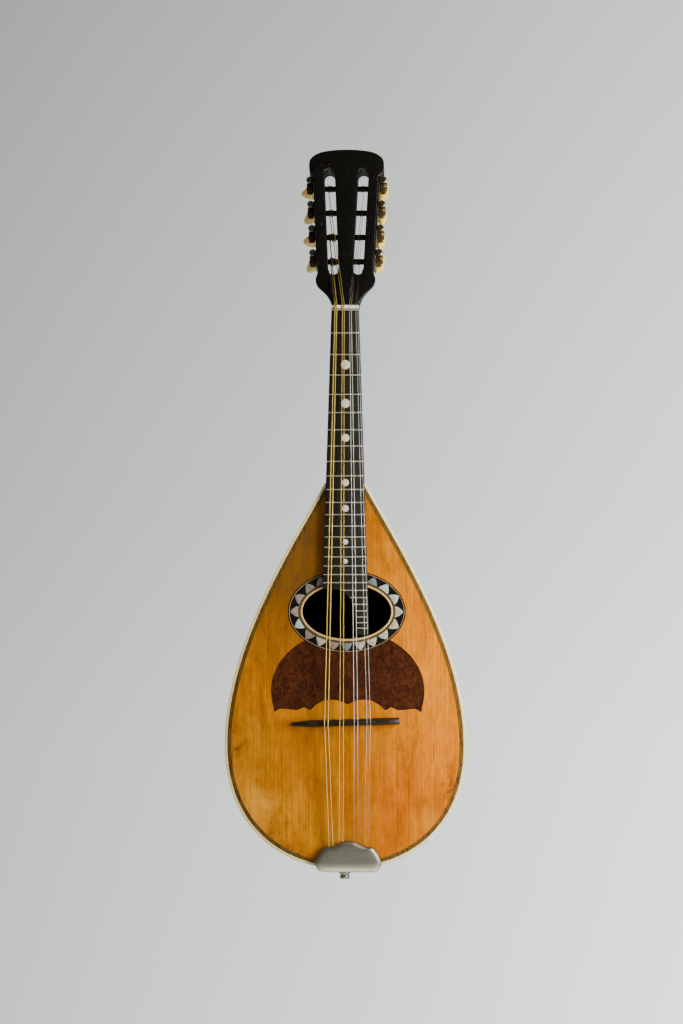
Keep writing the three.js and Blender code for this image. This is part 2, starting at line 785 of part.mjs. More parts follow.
function makeNeckAndHead() {
  const slots = [1, -1].map((side) => plate(slotOutline(side), -cutOverrun, headThickness + cutOverrun));
  const ramps = [1, -1].map(ramp);
  const outline = headOutline(headRootShares[0][1] * headLength);
  const core = plate(outline, veneerThickness + seatGap, headThickness);
  const head = cut(core, ...slots, ...ramps, ...machines.map(rollerBore)).rotateX(-headTilt);
  const neck = joined(makeNeckShaft(), head);
  addPiece('neck', neck, 'ebony');
  const veneerStart = neckTop / Math.cos(headTilt) + seatGap;
  const veneer = cut(plate(headOutline(veneerStart), 0, veneerThickness), ...slots, ...ramps);
  addPiece('head_veneer', veneer, 'ebony', headFrame);
}

function fingerboardOutline() {
  const points = [
    new THREE.Vector2(-boardHalfWidthAt(fingerboardLip), fingerboardLip),
    new THREE.Vector2(-boardEndHalfWidth, -boardEndDrop),
  ];
  const span = boardEndHalfWidth + tongueInner;
  const drop = tongueDrop - boardEndDrop;
  for (const [across, down] of tongueShares) {
    points.push(new THREE.Vector2(-boardEndHalfWidth + across * span, -boardEndDrop - down * drop));
  }
  const middle = (tongueInner + tongueOuter) / 2;
  const halfTongue = (tongueOuter - tongueInner) / 2;
  for (let i = 0; i <= tongueRoundSteps; i += 1) {
    const turn = Math.PI + (Math.PI * i) / tongueRoundSteps;
    points.push(new THREE.Vector2(
      middle + halfTongue * Math.cos(turn),
      -tongueDrop + tongueRound + tongueRound * Math.sin(turn),
    ));
  }
  points.push(new THREE.Vector2(boardEndHalfWidth, -boardEndDrop));
  points.push(new THREE.Vector2(boardHalfWidthAt(fingerboardLip), fingerboardLip));
  return points;
}

// Left end of a fret: on the board's edge, or on the curve that leads to the tongue
function fretLeftEnd(drop) {
  if (drop <= boardEndDrop) return -boardHalfWidthAt(-drop) + fretInset;
  const span = boardEndHalfWidth + tongueInner;
  const share = (drop - boardEndDrop) / (tongueDrop - boardEndDrop);
  const across = (point) => -boardEndHalfWidth + point[0] * span;
  const next = tongueShares.find((point) => point[1] >= share);
  if (!next) return tongueInner + fretInset;
  const earlier = tongueShares[Math.max(0, tongueShares.indexOf(next) - 1)];
  const blend = next === earlier ? 1 : (share - earlier[1]) / (next[1] - earlier[1]);
  return across(earlier) + (across(next) - across(earlier)) * blend + fretInset;
}

function makeFingerboard() {
  const frets = [];
  for (let number = 0; number <= fretCount; number += 1) {
    const drop = fretDrop(number);
    const right = Math.min(boardHalfWidthAt(-drop), boardEndHalfWidth) - fretInset;
    frets.push(block(
      fretLeftEnd(drop + fretWidth / 2), right,
      -fingerboardThickness - fretHeight, -fingerboardThickness / 2,
      -drop - fretWidth / 2, -drop + fretWidth / 2,
    ));
  }
  const board = plate(fingerboardOutline(), -fingerboardThickness, 0);
  addPiece('fingerboard', joined(board, ...frets), 'ebony');
  const nutLow = fingerboardLip + seatGap;
  const nutFront = -fingerboardThickness - fretHeight;
  addPiece('nut', block(-nutHalfWidth, nutHalfWidth, nutFront, 0, nutLow, nutLow + nutLength), 'bone');
}

function makeTunerPlate(side) {
  const inner = (up) => headSideAt(up) + seatGap;
  const low = headSideLow + plateMargin;
  const high = headSideHigh - plateMargin;
  const strip = plate([
    new THREE.Vector2(inner(low), low), new THREE.Vector2(inner(low) + plateThickness, low),
    new THREE.Vector2(inner(high) + plateThickness, high), new THREE.Vector2(inner(high), high),
  ], machineDepth - plateDepth / 2, machineDepth + plateDepth / 2);
  const own = machines.filter((machine) => machine.side === side).map((machine) => ({ ...machine, side: 1 }));
  const ears = own.flatMap((machine) => [-1, 1].map((end) => {
    const near = machineDepth + end * earInset;
    const middle = near + (end * earThickness) / 2;
    return block(
      machine.plateOuter - plateThickness / 2, machine.worm + earReach,
      middle - earThickness / 2, middle + earThickness / 2,
      machine.wormUp - earHalfHeight, Math.min(machine.wormUp + earHalfHeight, headSideHigh),
    );
  }));
  const shaftBores = own.map((machine) => rodY(
    boreRadius(wormRootRadius + runningGap, boreSides),
    -cutOverrun, headThickness + cutOverrun, machine.worm, machine.wormUp, boreSides,
  ));
  const made = cut(joined(strip, ...ears), ...own.map(rollerBore), ...shaftBores);
  return side > 0 ? made : mirrored(made);
}

function mirrored(geometry) {
  const flipped = geometry.clone().scale(-1, 1, 1);
  const index = [...flipped.index.array].reverse();
  flipped.setIndex(index);
  flipped.computeVertexNormals();
  return flipped;
}

// Roller with its gear, along X, a tooth pointing straight up at the worm
function makeRoller(machine) {
  const inner = machine.slot - slotHalfWidth - rollerSeat;
  const shaft = rodX(rollerRadius, inner, machine.gearInner + gearWidth / 2, 0, 0);
  const teeth = [];
  const tipHalfTurn = toothTipWidth / 2 / gearTipRadius;
  const spots = [
    [gearTipRadius - toothHeight, -Math.PI / gearTeeth],
    [gearTipRadius, -tipHalfTurn], [gearTipRadius, tipHalfTurn],
  ];
  for (let tooth = 0; tooth < gearTeeth; tooth += 1) {
    const middle = (tooth / gearTeeth) * Math.PI * 2 + Math.PI / 2;
    for (const [radius, shift] of spots) {
      teeth.push(new THREE.Vector2(radius * Math.cos(middle + shift), radius * Math.sin(middle + shift)));
    }
  }
  const gear = bar(teeth, machine.gearInner, machine.gearOuter);
  const screwEnds = [machine.gearOuter - gearScrewHeight, machine.gearOuter + gearScrewHeight];
  const screw = rodX(gearScrewRadius, ...screwEnds, 0, 0, boreSides);
  const made = joined(shaft, gear, screw);
  return machine.side > 0 ? made : mirrored(made);
}

const threadPitch = (Math.PI * 2 * (gearTipRadius - toothEngagement / 2)) / gearTeeth;

// Worm shaft along Y: a collar outside each ear, and a right-hand thread astride the gear's top tooth
function makeWorm() {
  const steps = threadTurns * stepsPerTurn;
  const startTurn = -Math.PI * threadTurns;
  const rings = [];
  for (let i = 0; i <= steps; i += 1) {
    const turn = startTurn + (i / stepsPerTurn) * Math.PI * 2;
    const along = (threadPitch * (turn - Math.PI)) / (Math.PI * 2) + threadPitch / 2;
    const spot = (radius, shift) => new THREE.Vector3(
      radius * Math.sin(turn), along + shift, radius * Math.cos(turn),
    );
    const root = wormRootRadius - threadSink;
    rings.push([
      spot(root, -threadRootWidth / 2), spot(wormTipRadius, -threadTipWidth / 2),
      spot(wormTipRadius, threadTipWidth / 2), spot(root, threadRootWidth / 2),
    ]);
  }
  const front = -earInset - earThickness - seatGap - collarThickness;
  const back = buttonSetback + buttonLength * shaftSeatShare;
  const shaft = rodY(wormRootRadius, front + collarThickness / 2, back, 0, 0, shaftSides);
  const collar = rodY(collarRadius, front, front + collarThickness, 0, 0, collarSides);
  const bossStart = earInset + earThickness + seatGap;
  const boss = rodY(bossCollarRadius, bossStart, bossStart + bossCollarLength, 0, 0, collarSides);
  return joined(shaft, loft(rings), collar, boss);
}

// Button on the end of a worm shaft, round at its boss and flattened towards its rim
function makeButton() {
  const boreDepth = buttonLength * shaftSeatShare + seatGap;
  const boreWall = boreRadius(wormRootRadius + seatGap, buttonSegments);
  const profile = [
    new THREE.Vector2(0, boreDepth), new THREE.Vector2(boreWall, boreDepth),
    new THREE.Vector2(boreWall, 0), new THREE.Vector2(bossRadius, 0),
  ];
  for (const [out, along] of buttonShares) {
    profile.push(new THREE.Vector2(Math.max(bossRadius, out * buttonHalfWidth), along * buttonLength));
  }
  profile.push(new THREE.Vector2(0, buttonLength));
  const geometry = new THREE.LatheGeometry(profile, buttonSegments);
  const position = geometry.attributes.position;
  for (let i = 0; i < position.count; i += 1) {
    const radius = Math.hypot(position.getX(i), position.getZ(i));
    const share = THREE.MathUtils.clamp((radius - bossRadius) / (buttonHalfWidth - bossRadius), 0, 1);
    position.setZ(i, position.getZ(i) * (1 - (1 - buttonFlatShare) * share));
  }
  return toGeometry(toSolid(geometry));
}

function makeTuners() {
  const worm = makeWorm();
  const button = makeButton();
  for (const side of [-1, 1]) {
    const sideName = side > 0 ? 'right' : 'left';
    addPiece(`tuner_plate_${sideName}`, makeTunerPlate(side), 'nickel', headFrame);
    machines.filter((machine) => machine.side === side).forEach((machine, number) => {
      const tag = `${sideName}_${number + 1}`;
      const roller = addPiece(`roller_${tag}`, makeRoller(machine), 'brass', headFrame);
      roller.position.set(0, machineDepth, machine.roller);
      const shaft = addPiece(`worm_${tag}`, worm, 'nickel', headFrame);
      shaft.position.set(side * machine.worm, machineDepth, machine.wormUp);
      const knob = addPiece(`button_${tag}`, button, 'ivory', headFrame);
      knob.position.set(side * machine.worm, machineDepth + buttonSetback, machine.wormUp);
      knob.rotation.y = buttonRestTurns[sideName][number] * Math.PI * 2;
    });
  }
}

function makeBridge() {
  const halfLength = bridgeLength / 2;
  const foot = -seatGap;
  const outline = [
    new THREE.Vector2(-halfLength, foot), new THREE.Vector2(halfLength, foot),
    new THREE.Vector2(halfLength, -bridgeTipHeight - seatGap),
    new THREE.Vector2(halfLength - bridgeSquareEnd, -bridgeBlockHeight),
    new THREE.Vector2(-halfLength + bridgeTaper, -bridgeBlockHeight),
    new THREE.Vector2(-halfLength, -bridgeTipHeight / 2 - seatGap),
  ];
  const shape = new THREE.Shape(outline);
  const body = new THREE.ExtrudeGeometry(shape, { depth: bridgeWidth, bevelEnabled: false });
  body.translate(bridgeOffset, 0, -bridgeWidth / 2);
  const saddleHalf = (bridgeSpread + bridgePairSpacing) / 2 + saddleMargin;
  const saddle = block(
    bridgeStringOffset - saddleHalf, bridgeStringOffset + saddleHalf,
    -bridgeHeight, -bridgeTipHeight, -saddleWidth / 2, saddleWidth / 2,
  );
  addPiece('bridge', joined(body, saddle), 'ebony', bridgeFrame);
}

// Tube of round section through a list of points, its rings turned as little as possible
function tubeAlong(points, radius, sides) {
  const rings = [];
  let across = new THREE.Vector3(1, 0, 0);
  points.forEach((point, i) => {
    const before = points[Math.max(0, i - 1)];
    const after = points[Math.min(points.length - 1, i + 1)];
    const along = after.clone().sub(before).normalize();
    across = across.clone().addScaledVector(along, -across.dot(along)).normalize();
    const up = along.clone().cross(across);
    const ring = [];
    for (let side = 0; side < sides; side += 1) {
      const turn = (side / sides) * Math.PI * 2;
      ring.push(point.clone()
        .addScaledVector(across, radius * Math.cos(turn))
        .addScaledVector(up, radius * Math.sin(turn)));
    }
    rings.push(ring);
  });
  return loft(rings);
}

// Loops of a string round its roller, from the point where the straight run touches it
function windingPoints(start, machine, radius) {
  const reach = rollerRadius + seatGap + radius;
  const towardsNut = new THREE.Vector2(start.z - machine.roller, start.y - machineDepth);
  const touchTurn = Math.atan2(towardsNut.y, towardsNut.x) + Math.acos(reach / towardsNut.length());
  const pitch = 2 * radius + windingSpace;
  const width = pitch * windingLoops;
  const points = [];
  for (let i = 0; i <= windingLoops * windingSteps; i += 1) {
    const loops = i / windingSteps;
    const turn = touchTurn + loops * Math.PI * 2;
    points.push(new THREE.Vector3(
      machine.side * (machine.slot + width / 2 - pitch * loops),
      machineDepth + reach * Math.sin(turn),
      machine.roller + reach * Math.cos(turn),
    ));
  }
  return points;
}

// Least clear space between stretches of a tube that are at least half a loop apart
function leastGap(points, radius) {
  let least = Infinity;
  for (let i = 0; i < points.length; i += 1) {
    for (let j = i + windingSteps / 2; j < points.length; j += 1) {
      least = Math.min(least, points[i].distanceTo(points[j]) - 2 * radius);
    }
  }
  return least;
}

function toHeadFrame(point) {
  return point.clone().applyAxisAngle(new THREE.Vector3(1, 0, 0), headTilt);
}

function fromHeadFrame(point) {
  return point.clone().applyAxisAngle(new THREE.Vector3(1, 0, 0), -headTilt);
}

function hookPlace(course, member) {
  const x = hookOffset + hookShares[course] * hookSpread + member * hookPairSpacing;
  return { x, z: -(tailDrop - bridgeDrop) / Math.cos(cantAngle) + hookSetback };
}

function makeString(course, member, machine) {
  const radius = stringRadii[course];
  const clearOfFrets = -fingerboardThickness - fretHeight - seatGap - radius;
  const nutX = nutOffset + courseShares[course] * nutSpread + member * nutPairSpacing;
  const nutBack = fingerboardLip + seatGap + nutLength + seatGap;
  const bridgeX = bridgeStringOffset + courseShares[course] * bridgeSpread + member * bridgePairSpacing;
  const hook = hookPlace(course, member);
  const tail = new THREE.Vector3(hook.x, -stringSeatHeight - radius, hook.z + hookLength / 2 + seatGap);
  tail.applyAxisAngle(new THREE.Vector3(1, 0, 0), cantAngle).setZ(tail.z - bridgeDrop);
  const overBridge = new THREE.Vector3(
    bridgeX, -bridgeHeight - seatGap - radius, -bridgeDrop + bridgeX * Math.sin(bridgeTilt),
  );
  const nutEdge = new THREE.Vector3(nutX, clearOfFrets, nutBack);
  const nutShare = nutBack / scaleLength;
  const zeroFret = new THREE.Vector3(nutX + (nutX - bridgeX) * -nutShare, clearOfFrets, 0);
  const winding = windingPoints(toHeadFrame(nutEdge), machine, radius).map(fromHeadFrame);
  const route = [tail, overBridge, zeroFret, nutEdge, ...winding];
  const gap = leastGap(winding, radius);
  const name = `string_${course}${member < 0 ? 1 : 2}`;
  console.log(`${name} least gap ${gap.toFixed(2)} mm, over ${leastWindingGap} mm`);
  return tubeAlong(route, radius, stringSides);
}

// From left to right the strings take the left rollers upwards, then the right ones downwards
function makeStrings() {
  courses.forEach((course, place) => {
    const surface = woundCourses.includes(course) ? 'bronze' : 'steel';
    pairShares.forEach((member, number) => {
      const order = place * pairShares.length + number;
      const machine = machines[order < machineCount ? order : 3 * machineCount - 1 - order];
      addPiece(`string_${course}${number + 1}`, makeString(course, member, machine), surface);
    });
  });
}

// Drops below the origin of the faces that lie one behind the other at the tail
const claspOuterDrop = tailDrop - ribInset + seatGap + claspThickness;
const skirtInnerDrop = claspOuterDrop + seatGap;
const skirtOuterDrop = skirtInnerDrop + tailPlateThickness;
const pinShoulderDrop = skirtOuterDrop + seatGap;

// Plate with hooks on the canted soundboard, bent round the tail over the clasp
function makeTailpiece() {
  const foot = -(tailDrop - bridgeDrop) / Math.cos(cantAngle);
  const plateFront = -seatGap - tailPlateThickness;
  const top = -tailDrop + tailPlateTop;
  const bedOutline = [top, -skirtOuterDrop].map((z) => new THREE.Vector2(cantAt(z) + plateFront, z));
  bedOutline.push(...[-skirtOuterDrop, top].map((z) => new THREE.Vector2(cantAt(z) - seatGap, z)));
  const bed = bar(bedOutline, coverOffset - tailPlateWidth / 2, coverOffset + tailPlateWidth / 2);
  const skirt = block(
    -skirtWidth / 2, skirtWidth / 2, cantAt(-skirtInnerDrop) + plateFront, pinDepth + skirtBelowPin,
    -skirtOuterDrop, -skirtInnerDrop,
  );
  const hooks = courses.flatMap((course) => pairShares.map((member) => {
    const { x, z } = hookPlace(course, member);
    const hook = block(
      x - hookWidth / 2, x + hookWidth / 2, plateFront - hookHeight, plateFront / 2 - seatGap / 2,
      z - hookLength / 2, z + hookLength / 2,
    );
    return hook.rotateX(cantAngle).translate(0, 0, -bridgeDrop);
  }));
  addPiece('tailpiece_base', cut(joined(bed, skirt, ...hooks), pinBore()), 'nickel');
  addPiece('tailpiece_cover', makeCover(foot, plateFront), 'nickel', cantFrame);
}

function coverOutline(foot, inset) {
  const right = coverShares.map(([across, up]) => new THREE.Vector2(
    coverOffset + across * (coverHalfWidth - inset), foot + inset + up * (coverHeight - 2 * inset),
  ));
  const left = right.slice(1).reverse().map((point) => new THREE.Vector2(2 * coverOffset - point.x, point.y));
  return [...left, ...right];
}

function makeCover(foot, plateFront) {
  const back = plateFront - seatGap;
  const shell = plate(coverOutline(foot - coverWall, 0), -coverFront, back);
  const hollow = plate(coverOutline(foot - coverWall, coverWall), -coverFront + coverWall, back + cutOverrun);
  const mouthLow = foot + coverHeight / 2;
  const mouth = block(
    coverOffset - mouthHalfWidth, coverOffset + mouthHalfWidth,
    -coverFront + coverWall, back + cutOverrun, mouthLow, mouthLow + coverHeight,
  );
  return cut(shell, hollow, mouth);
}

function makeEndPin() {
  const shoulder = -pinShoulderDrop;
  const face = shoulder - pinHeadLength;
  const profile = [
    [0, shoulder + pinBite], [pinRadius, shoulder + pinBite], [pinRadius, shoulder],
    [pinFlangeRadius, shoulder], [pinFlangeRadius, shoulder - pinFlangeLength],
    [pinHeadRadius, shoulder - pinFlangeLength], [pinHeadRadius, face + pinFlangeLength / 2],
    [pinFaceRadius, face], [0, face],
  ].map(([x, y]) => new THREE.Vector2(x, y));
  const geometry = new THREE.LatheGeometry(profile.reverse(), pinSides).rotateX(Math.PI / 2);
  addPiece('end_pin', toGeometry(toSolid(geometry.translate(pinOffset, pinDepth, 0))), 'nickel');
}

makeBody();
makeInside();
makeNeckAndHead();
makeFingerboard();
makeTuners();
makeBridge();
makeStrings();
makeTailpiece();
makeEndPin();

export default part;
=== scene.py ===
"""Looks of a bowl back mandolin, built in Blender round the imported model.

Sizes are in millimetres and are turned into metres as each mesh is made.
"""

import math
import random
from contextlib import contextmanager

import bmesh
import bpy
from mathutils import Matrix, Vector


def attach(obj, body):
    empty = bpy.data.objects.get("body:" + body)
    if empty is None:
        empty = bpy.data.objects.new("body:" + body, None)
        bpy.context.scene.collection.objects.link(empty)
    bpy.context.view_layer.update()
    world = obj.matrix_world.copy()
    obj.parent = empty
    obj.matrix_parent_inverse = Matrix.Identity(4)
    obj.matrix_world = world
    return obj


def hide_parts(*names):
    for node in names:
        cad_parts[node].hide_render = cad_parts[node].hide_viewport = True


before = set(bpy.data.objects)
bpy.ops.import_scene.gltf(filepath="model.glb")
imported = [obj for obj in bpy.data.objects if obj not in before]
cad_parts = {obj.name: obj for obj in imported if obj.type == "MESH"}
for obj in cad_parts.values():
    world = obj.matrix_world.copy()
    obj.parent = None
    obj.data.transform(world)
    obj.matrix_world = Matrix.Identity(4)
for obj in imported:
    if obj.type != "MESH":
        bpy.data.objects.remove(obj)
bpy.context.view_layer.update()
METRE = 0.001
random.seed(7)

# Scale and frets
SCALE_LENGTH = 330.0
FRET_COUNT = 26
FRETS_PER_OCTAVE = 12
FRET_HEIGHT = 1.0
FRET_WIDTH = 0.95
FRET_INSET = 0.3
FRET_SLOPE = (0.35, 0.5)
FRET_SEAT = 0.4
DOT_RADII = {3: 3.7, 5: 3.6, 7: 3.15, 10: 2.8, 12: 2.7, 15: 2.15, 17: 1.9}
DOT_OFFSET = 0.3
DOT_DEPTH = 0.6


def fret_drop(number):
    return SCALE_LENGTH * (1 - 2 ** (-number / FRETS_PER_OCTAVE))


# Body outline and bowl
SHOULDER_DROP = fret_drop(10) - 5.2
SHOULDER_HALF_WIDTH = 16.5
SHOULDER_FLARE = (26.0, 48.0)
WIDEST_DROP = SHOULDER_DROP + 212.4
WIDEST_HALF_WIDTH = 97.6
FLANK_RISE = 82.0
FLANK_FALL = 71.5
TAIL_DROP = WIDEST_DROP + 101.0
TAIL_REACH = 46.5
DOME_DEPTH_SHARE = 1.18
SHOULDER_WALL = 9.0
BODY_WALL = 25.0
RIB_INSET = 0.6
RIB_THICKNESS = 1.6
RIB_NODES = 7
RIBS_PER_NODE = 3
RIB_END_SHARE = 0.96
RIB_LINE_WIDTH = 0.9
RIB_LINE_OVERLAP_SHARE = 0.9
RIB_LINE_INSET = 0.05
RIB_LINE_THICKNESS = 1.2
RIB_EDGE_GAP = 0.2
CLASP = 0.8
SLOPE_STEP = 0.03
BEND_STEP = 0.003

# Soundboard and what is let into it
BOARD_THICKNESS = 3.0
BRIDGE_DROP = SCALE_LENGTH + 2.9
CANT = math.radians(5)
CANT_ROWS = (0.8, 0.0, -0.8)
BINDING_WIDTH = 2.2
BINDING_ROUND = 0.3
BAND_START = 2.35
BAND_END = 5.3
BAND_DEPTH = 0.5
PROUD = 0.06
INLAY_GAP = 0.1
INLAY_DEPTH = 0.8
BOARD_END_DROP = fret_drop(19) + 4.4
HOLE = (1.2, -(BOARD_END_DROP + 19.1))
HOLE_RADII = (35.9, 22.2)
HOLE_RING = 1.5
HOLE_RING_PROUD = 0.25
HOLE_RING_ROUND = 0.45
ROSETTE_LAND = 3.2
ROSETTE_RADII = (47.1, 33.0)
ROSETTE_DEPTH = 0.9
ROSETTE_LINES = (-0.95, -0.5, 0.45)
LINE_DEPTH = 0.6
TRIANGLE_COUNT = 20
TRIANGLE_HEIGHT = 6.2
TRIANGLE_SHARE = 0.92
TRIANGLE_DEPTH = 0.5
TRIANGLE_STEPS = 2000
TRIANGLE_SIDE_SHARES = [(0.96, 0.1), (0.83, 0.28), (0.64, 0.5), (0.42, 0.72), (0.22, 0.9), (0.1, 0.98)]
PEARL_KINDS = (
    "pale plain plain grey pale pale grey rose rose rose rose plain rose pale rose grey pale pale pale pale"
).split()
GUARD_OFFSET = 2.0
GUARD_RADII = (62.0, 49.5)
GUARD_DROP = -HOLE[1] + 64.1
GUARD_TIP_SHARE = 0.968
GUARD_GAP = 0.5
SCALLOP_BASE = 17.0
SCALLOP_HEIGHT = 9.8
SCALLOP_SHARES = [
    (0.985, 0.02), (0.913, 0.26), (0.805, 0.22), (0.68, 0.15), (0.577, 0.41), (0.507, 0.17),
    (0.42, 0.61), (0.3, 0.97), (0.175, 1.0), (0.087, 0.88), (0, 0.63),
]
SCALLOP_CUSPS = (4, 5)

# Neck, fingerboard and nut
NUT_HALF_WIDTH = 11.1
NECK_DEPTH = 17.5
NECK_WALL_SHARE = 0.3
NECK_ROWS = 64
HEEL_SHARES = [(0, 0), (0.3, 0.02), (0.6, 0.1), (0.78, 0.2), (0.88, 0.36), (0.95, 0.62), (1, 1)]
HEEL_WINDOW_SHARE = 0.05
BOARD_END_HALF_WIDTH = 18.3
FINGERBOARD_THICKNESS = 3.5
FINGERBOARD_ROUND = 0.25
FINGERBOARD_LIP = 0.9
TONGUE_DROP = fret_drop(FRET_COUNT) + 6.0
TONGUE_SIDES = (9.0, 19.0)
TONGUE_SHARES = [(0.2, 0.04), (0.51, 0.045), (0.78, 0.2), (0.88, 0.34), (0.955, 0.48), (0.99, 0.6)]
TONGUE_ROUND = 5.0
SEAT_GAP = 0.3
NUT_LOW = FINGERBOARD_LIP + SEAT_GAP
NUT_HIGH = NUT_LOW + 2.6
NUT_ROUND = 0.45
NOTCH_GAP = 0.1
NOTCH_OVERCUT = 2.0
NECK_TOP = NUT_HIGH + 0.5

# Head, in its own frame: across, into the head, up the head
HEAD_TILT = math.radians(16)
HEAD_MATRIX = Matrix.Rotation(-HEAD_TILT, 4, "X")
HEAD_LENGTH = 139.8
HEAD_HALF_WIDTH = 30.7
HEAD_THICKNESS = 18.5
HEAD_ROUND = 0.9
HEAD_START = -3.0
VENEER = 1.2
VENEER_ROUND = 0.35
VENEER_GAP = 0.05
HEAD_ROOT_SHARES = [
    (0.351, -0.02), (0.349, 0.038), (0.428, 0.074), (0.531, 0.104), (0.725, 0.1445), (0.791, 0.186),
    (0.75, 0.225),
]
HEAD_LOW = (HEAD_HALF_WIDTH * 0.723, HEAD_LENGTH * 0.265)
HEAD_HIGH = (HEAD_HALF_WIDTH * 0.85, HEAD_LENGTH * 0.837)
HEAD_CROWN_SHARES = [
    (0.92, 0.847), (0.967, 0.857), (0.997, 0.882), (1, 0.907), (0.984, 0.932), (0.899, 0.958), (0.694, 0.983),
    (0.35, 0.996), (0, 1),
]
SLOT_HALF_WIDTH = 4.3
SLOT_LOW = HEAD_LOW[1] - 4.4
SLOT_HIGH = HEAD_HIGH[1] + 6.4
SLOT_LOW_OFFSET = HEAD_LOW[0] * 0.446
SLOT_HIGH_OFFSET = HEAD_HIGH[0] * 0.54
RAMP_START = (12.0, 6.4, 0.3)
RAMP_END_DEPTH = 6.5
RAMP_HALF_WIDTH = SLOT_HALF_WIDTH - 0.6
OVERCUT = 3.0
EAR_CORE = 11.0
EAR_TAPER_SHARE = 0.35
EAR_TAPER_START = 2.5
EAR_TAPER_HEIGHT = HEAD_LOW[1] * 0.25

# Tuning machines
MACHINE_COUNT = 4
MACHINE_DEPTH = HEAD_THICKNESS / 2
MACHINE_LOW = HEAD_LOW[1] + 7.9
MACHINE_HIGH = HEAD_HIGH[1] - 8.5
ROLLER_RADIUS = 2.35
ROLLER_SEAT = 3.0
RUNNING_GAP = 0.35
GEAR_TEETH = 14
GEAR_TIP = 4.4
GEAR_ROOT = 3.75
GEAR_WIDTH = 4.6
GEAR_EDGE = 0.35
GEAR_EDGE_SHARE = 0.9
GEAR_STAND_OFF = 0.6
TOOTH_TIP_WIDTH = 0.45
ENGAGEMENT = 0.35
SCREW_PROFILE = [(0, -0.6), (1.8, -0.6), (1.8, 0.48), (1.53, 0.68), (0.9, 0.8), (0, 0.8)]
PLATE_SCREW_PROFILE = [(0, -0.3), (1.5, -0.3), (1.5, 0), (1.25, 0.3), (0.7, 0.5), (0, 0.55)]
PLATE_SCREW_BELOW = 5.4
PLATE_SCREW_ABOVE = 3.2
PLATE_SCREW_SPREAD = 3.1
DRIVER_SLOT = (0.2, 0.35)
WORM_TIP = 2.0
WORM_ROOT = 1.45
THREAD_TURNS = 2
THREAD_STEPS = 20
THREAD_FADE = 5
THREAD_SINK = 0.3
SHAFT_INSET = 0.3
THREAD_HALF_WIDTHS = (0.45, 0.17)
PLATE_THICKNESS = 1.2
PLATE_DEPTH = 10.2
PLATE_MARGIN = 0.5
PLATE_ROUND = 0.25
EAR_THICKNESS = 0.9
EAR_INSET = PLATE_DEPTH / 2 - 0.1 - EAR_THICKNESS
EAR_HALF_HEIGHT = 2.4
EAR_REACH = 2.6
EAR_CORNER = 1.6
EAR_ROUND = 0.15
COLLAR_RADIUS = 3.0
COLLAR_THICKNESS = 1.5
COLLAR_GAP = 0.2
COLLAR_SHARES = [(0, 0), (1, 0), (1, 0.36), (0.93, 0.62), (0.78, 0.8), (0.52, 0.94), (0.25, 0.99), (0, 1)]
REAR_COLLAR_RADIUS = 3.1
REAR_COLLAR_LENGTH = 3.0
REAR_COLLAR_ROUND = 0.4
BUTTON_SETBACK = 16.3
BUTTON_LENGTH = 13.0
BUTTON_HALF_WIDTH = 8.2
BUTTON_FLAT_SHARE = 0.34
BOSS_RADIUS = 2.7
BUTTON_SHARES = [
    (0.46, 0), (0.47, 0.08), (0.62, 0.16), (0.8, 0.24), (0.92, 0.34), (0.985, 0.46), (1, 0.58), (0.95, 0.71),
    (0.86, 0.82), (0.7, 0.905), (0.5, 0.96), (0.25, 0.99), (0, 1),
]
SHAFT_SEAT_SHARE = 0.62
BUTTON_REST_TURNS = {"left": [-0.12, -0.01, -0.1, -0.01], "right": [-0.19, -0.22, -0.25, -0.2]}

# Bridge, strings and tail
BRIDGE_LENGTH = 86.8
BRIDGE_HALF_WIDTH = 2.75
BRIDGE_HEIGHT = 8.3
BRIDGE_BLOCK = 6.4
BRIDGE_TIP = 3.0
BRIDGE_TAPER = 17.0
BRIDGE_SQUARE = 9.0
BRIDGE_OFFSET = 0.4
BRIDGE_TILT = math.radians(1.9)
BRIDGE_ROWS = 60
BRIDGE_EDGE = 0.4
SADDLE_HALF_WIDTH = 0.9
SADDLE_OVERHANG = 3.5
SADDLE_ROUND = 0.5
STRING_RADII = {"g": 0.46, "d": 0.305, "a": 0.18, "e": 0.125}
COURSE_SHARES = {"g": -0.5, "d": -0.14, "a": 0.2, "e": 0.5}
NUT_SPREAD = (16.7, 0.95, 1.5)
BRIDGE_SPREAD = (34.2, 2.1, 2.9)
HOOK_SHARES = {"g": -0.5, "d": -0.22, "a": 0.22, "e": 0.5}
HOOK_SPREAD = (27.6, 2.3, 3.2)
WINDING_LOOPS = 3
WINDING_STEPS = 28
WINDING_SPACE = 0.6
CANT_END = -(TAIL_DROP - BRIDGE_DROP) / math.cos(CANT)
HOOK_PLACE = CANT_END + 9.0
HOOK_SIZE = (1.6, 2.6, 2.0)
HOOK_ROUND = 0.35
STRING_SEAT = 2.4
TAIL_PLATE = 1.2
TAIL_PLATE_TOP = 17.0
TAIL_PLATE_MARGIN = 4.6
TAIL_PLATE_ROUND = 0.3
TAIL_PLATE_FRONT = -SEAT_GAP - TAIL_PLATE
SKIRT_INNER = TAIL_DROP - RIB_INSET + SEAT_GAP + CLASP + SEAT_GAP
SKIRT_OUTER = SKIRT_INNER + TAIL_PLATE
SKIRT_WIDTH = 30.0
SKIRT_REACH = 13.0
SKIRT_CORNER = 7.0
SKIRT_ROUND = 0.25
COVER_FOOT = CANT_END - 1.6
COVER_OFFSET = 2.1
COVER_HALF_WIDTH = 26.8
COVER_HEIGHT = 26
COVER_FRONT = 7.0
COVER_WALL = 0.9
COVER_ROLL = 3.4
COVER_CENTRE_SHARE = 0.4
COVER_SIDE_SHARE = 0.3
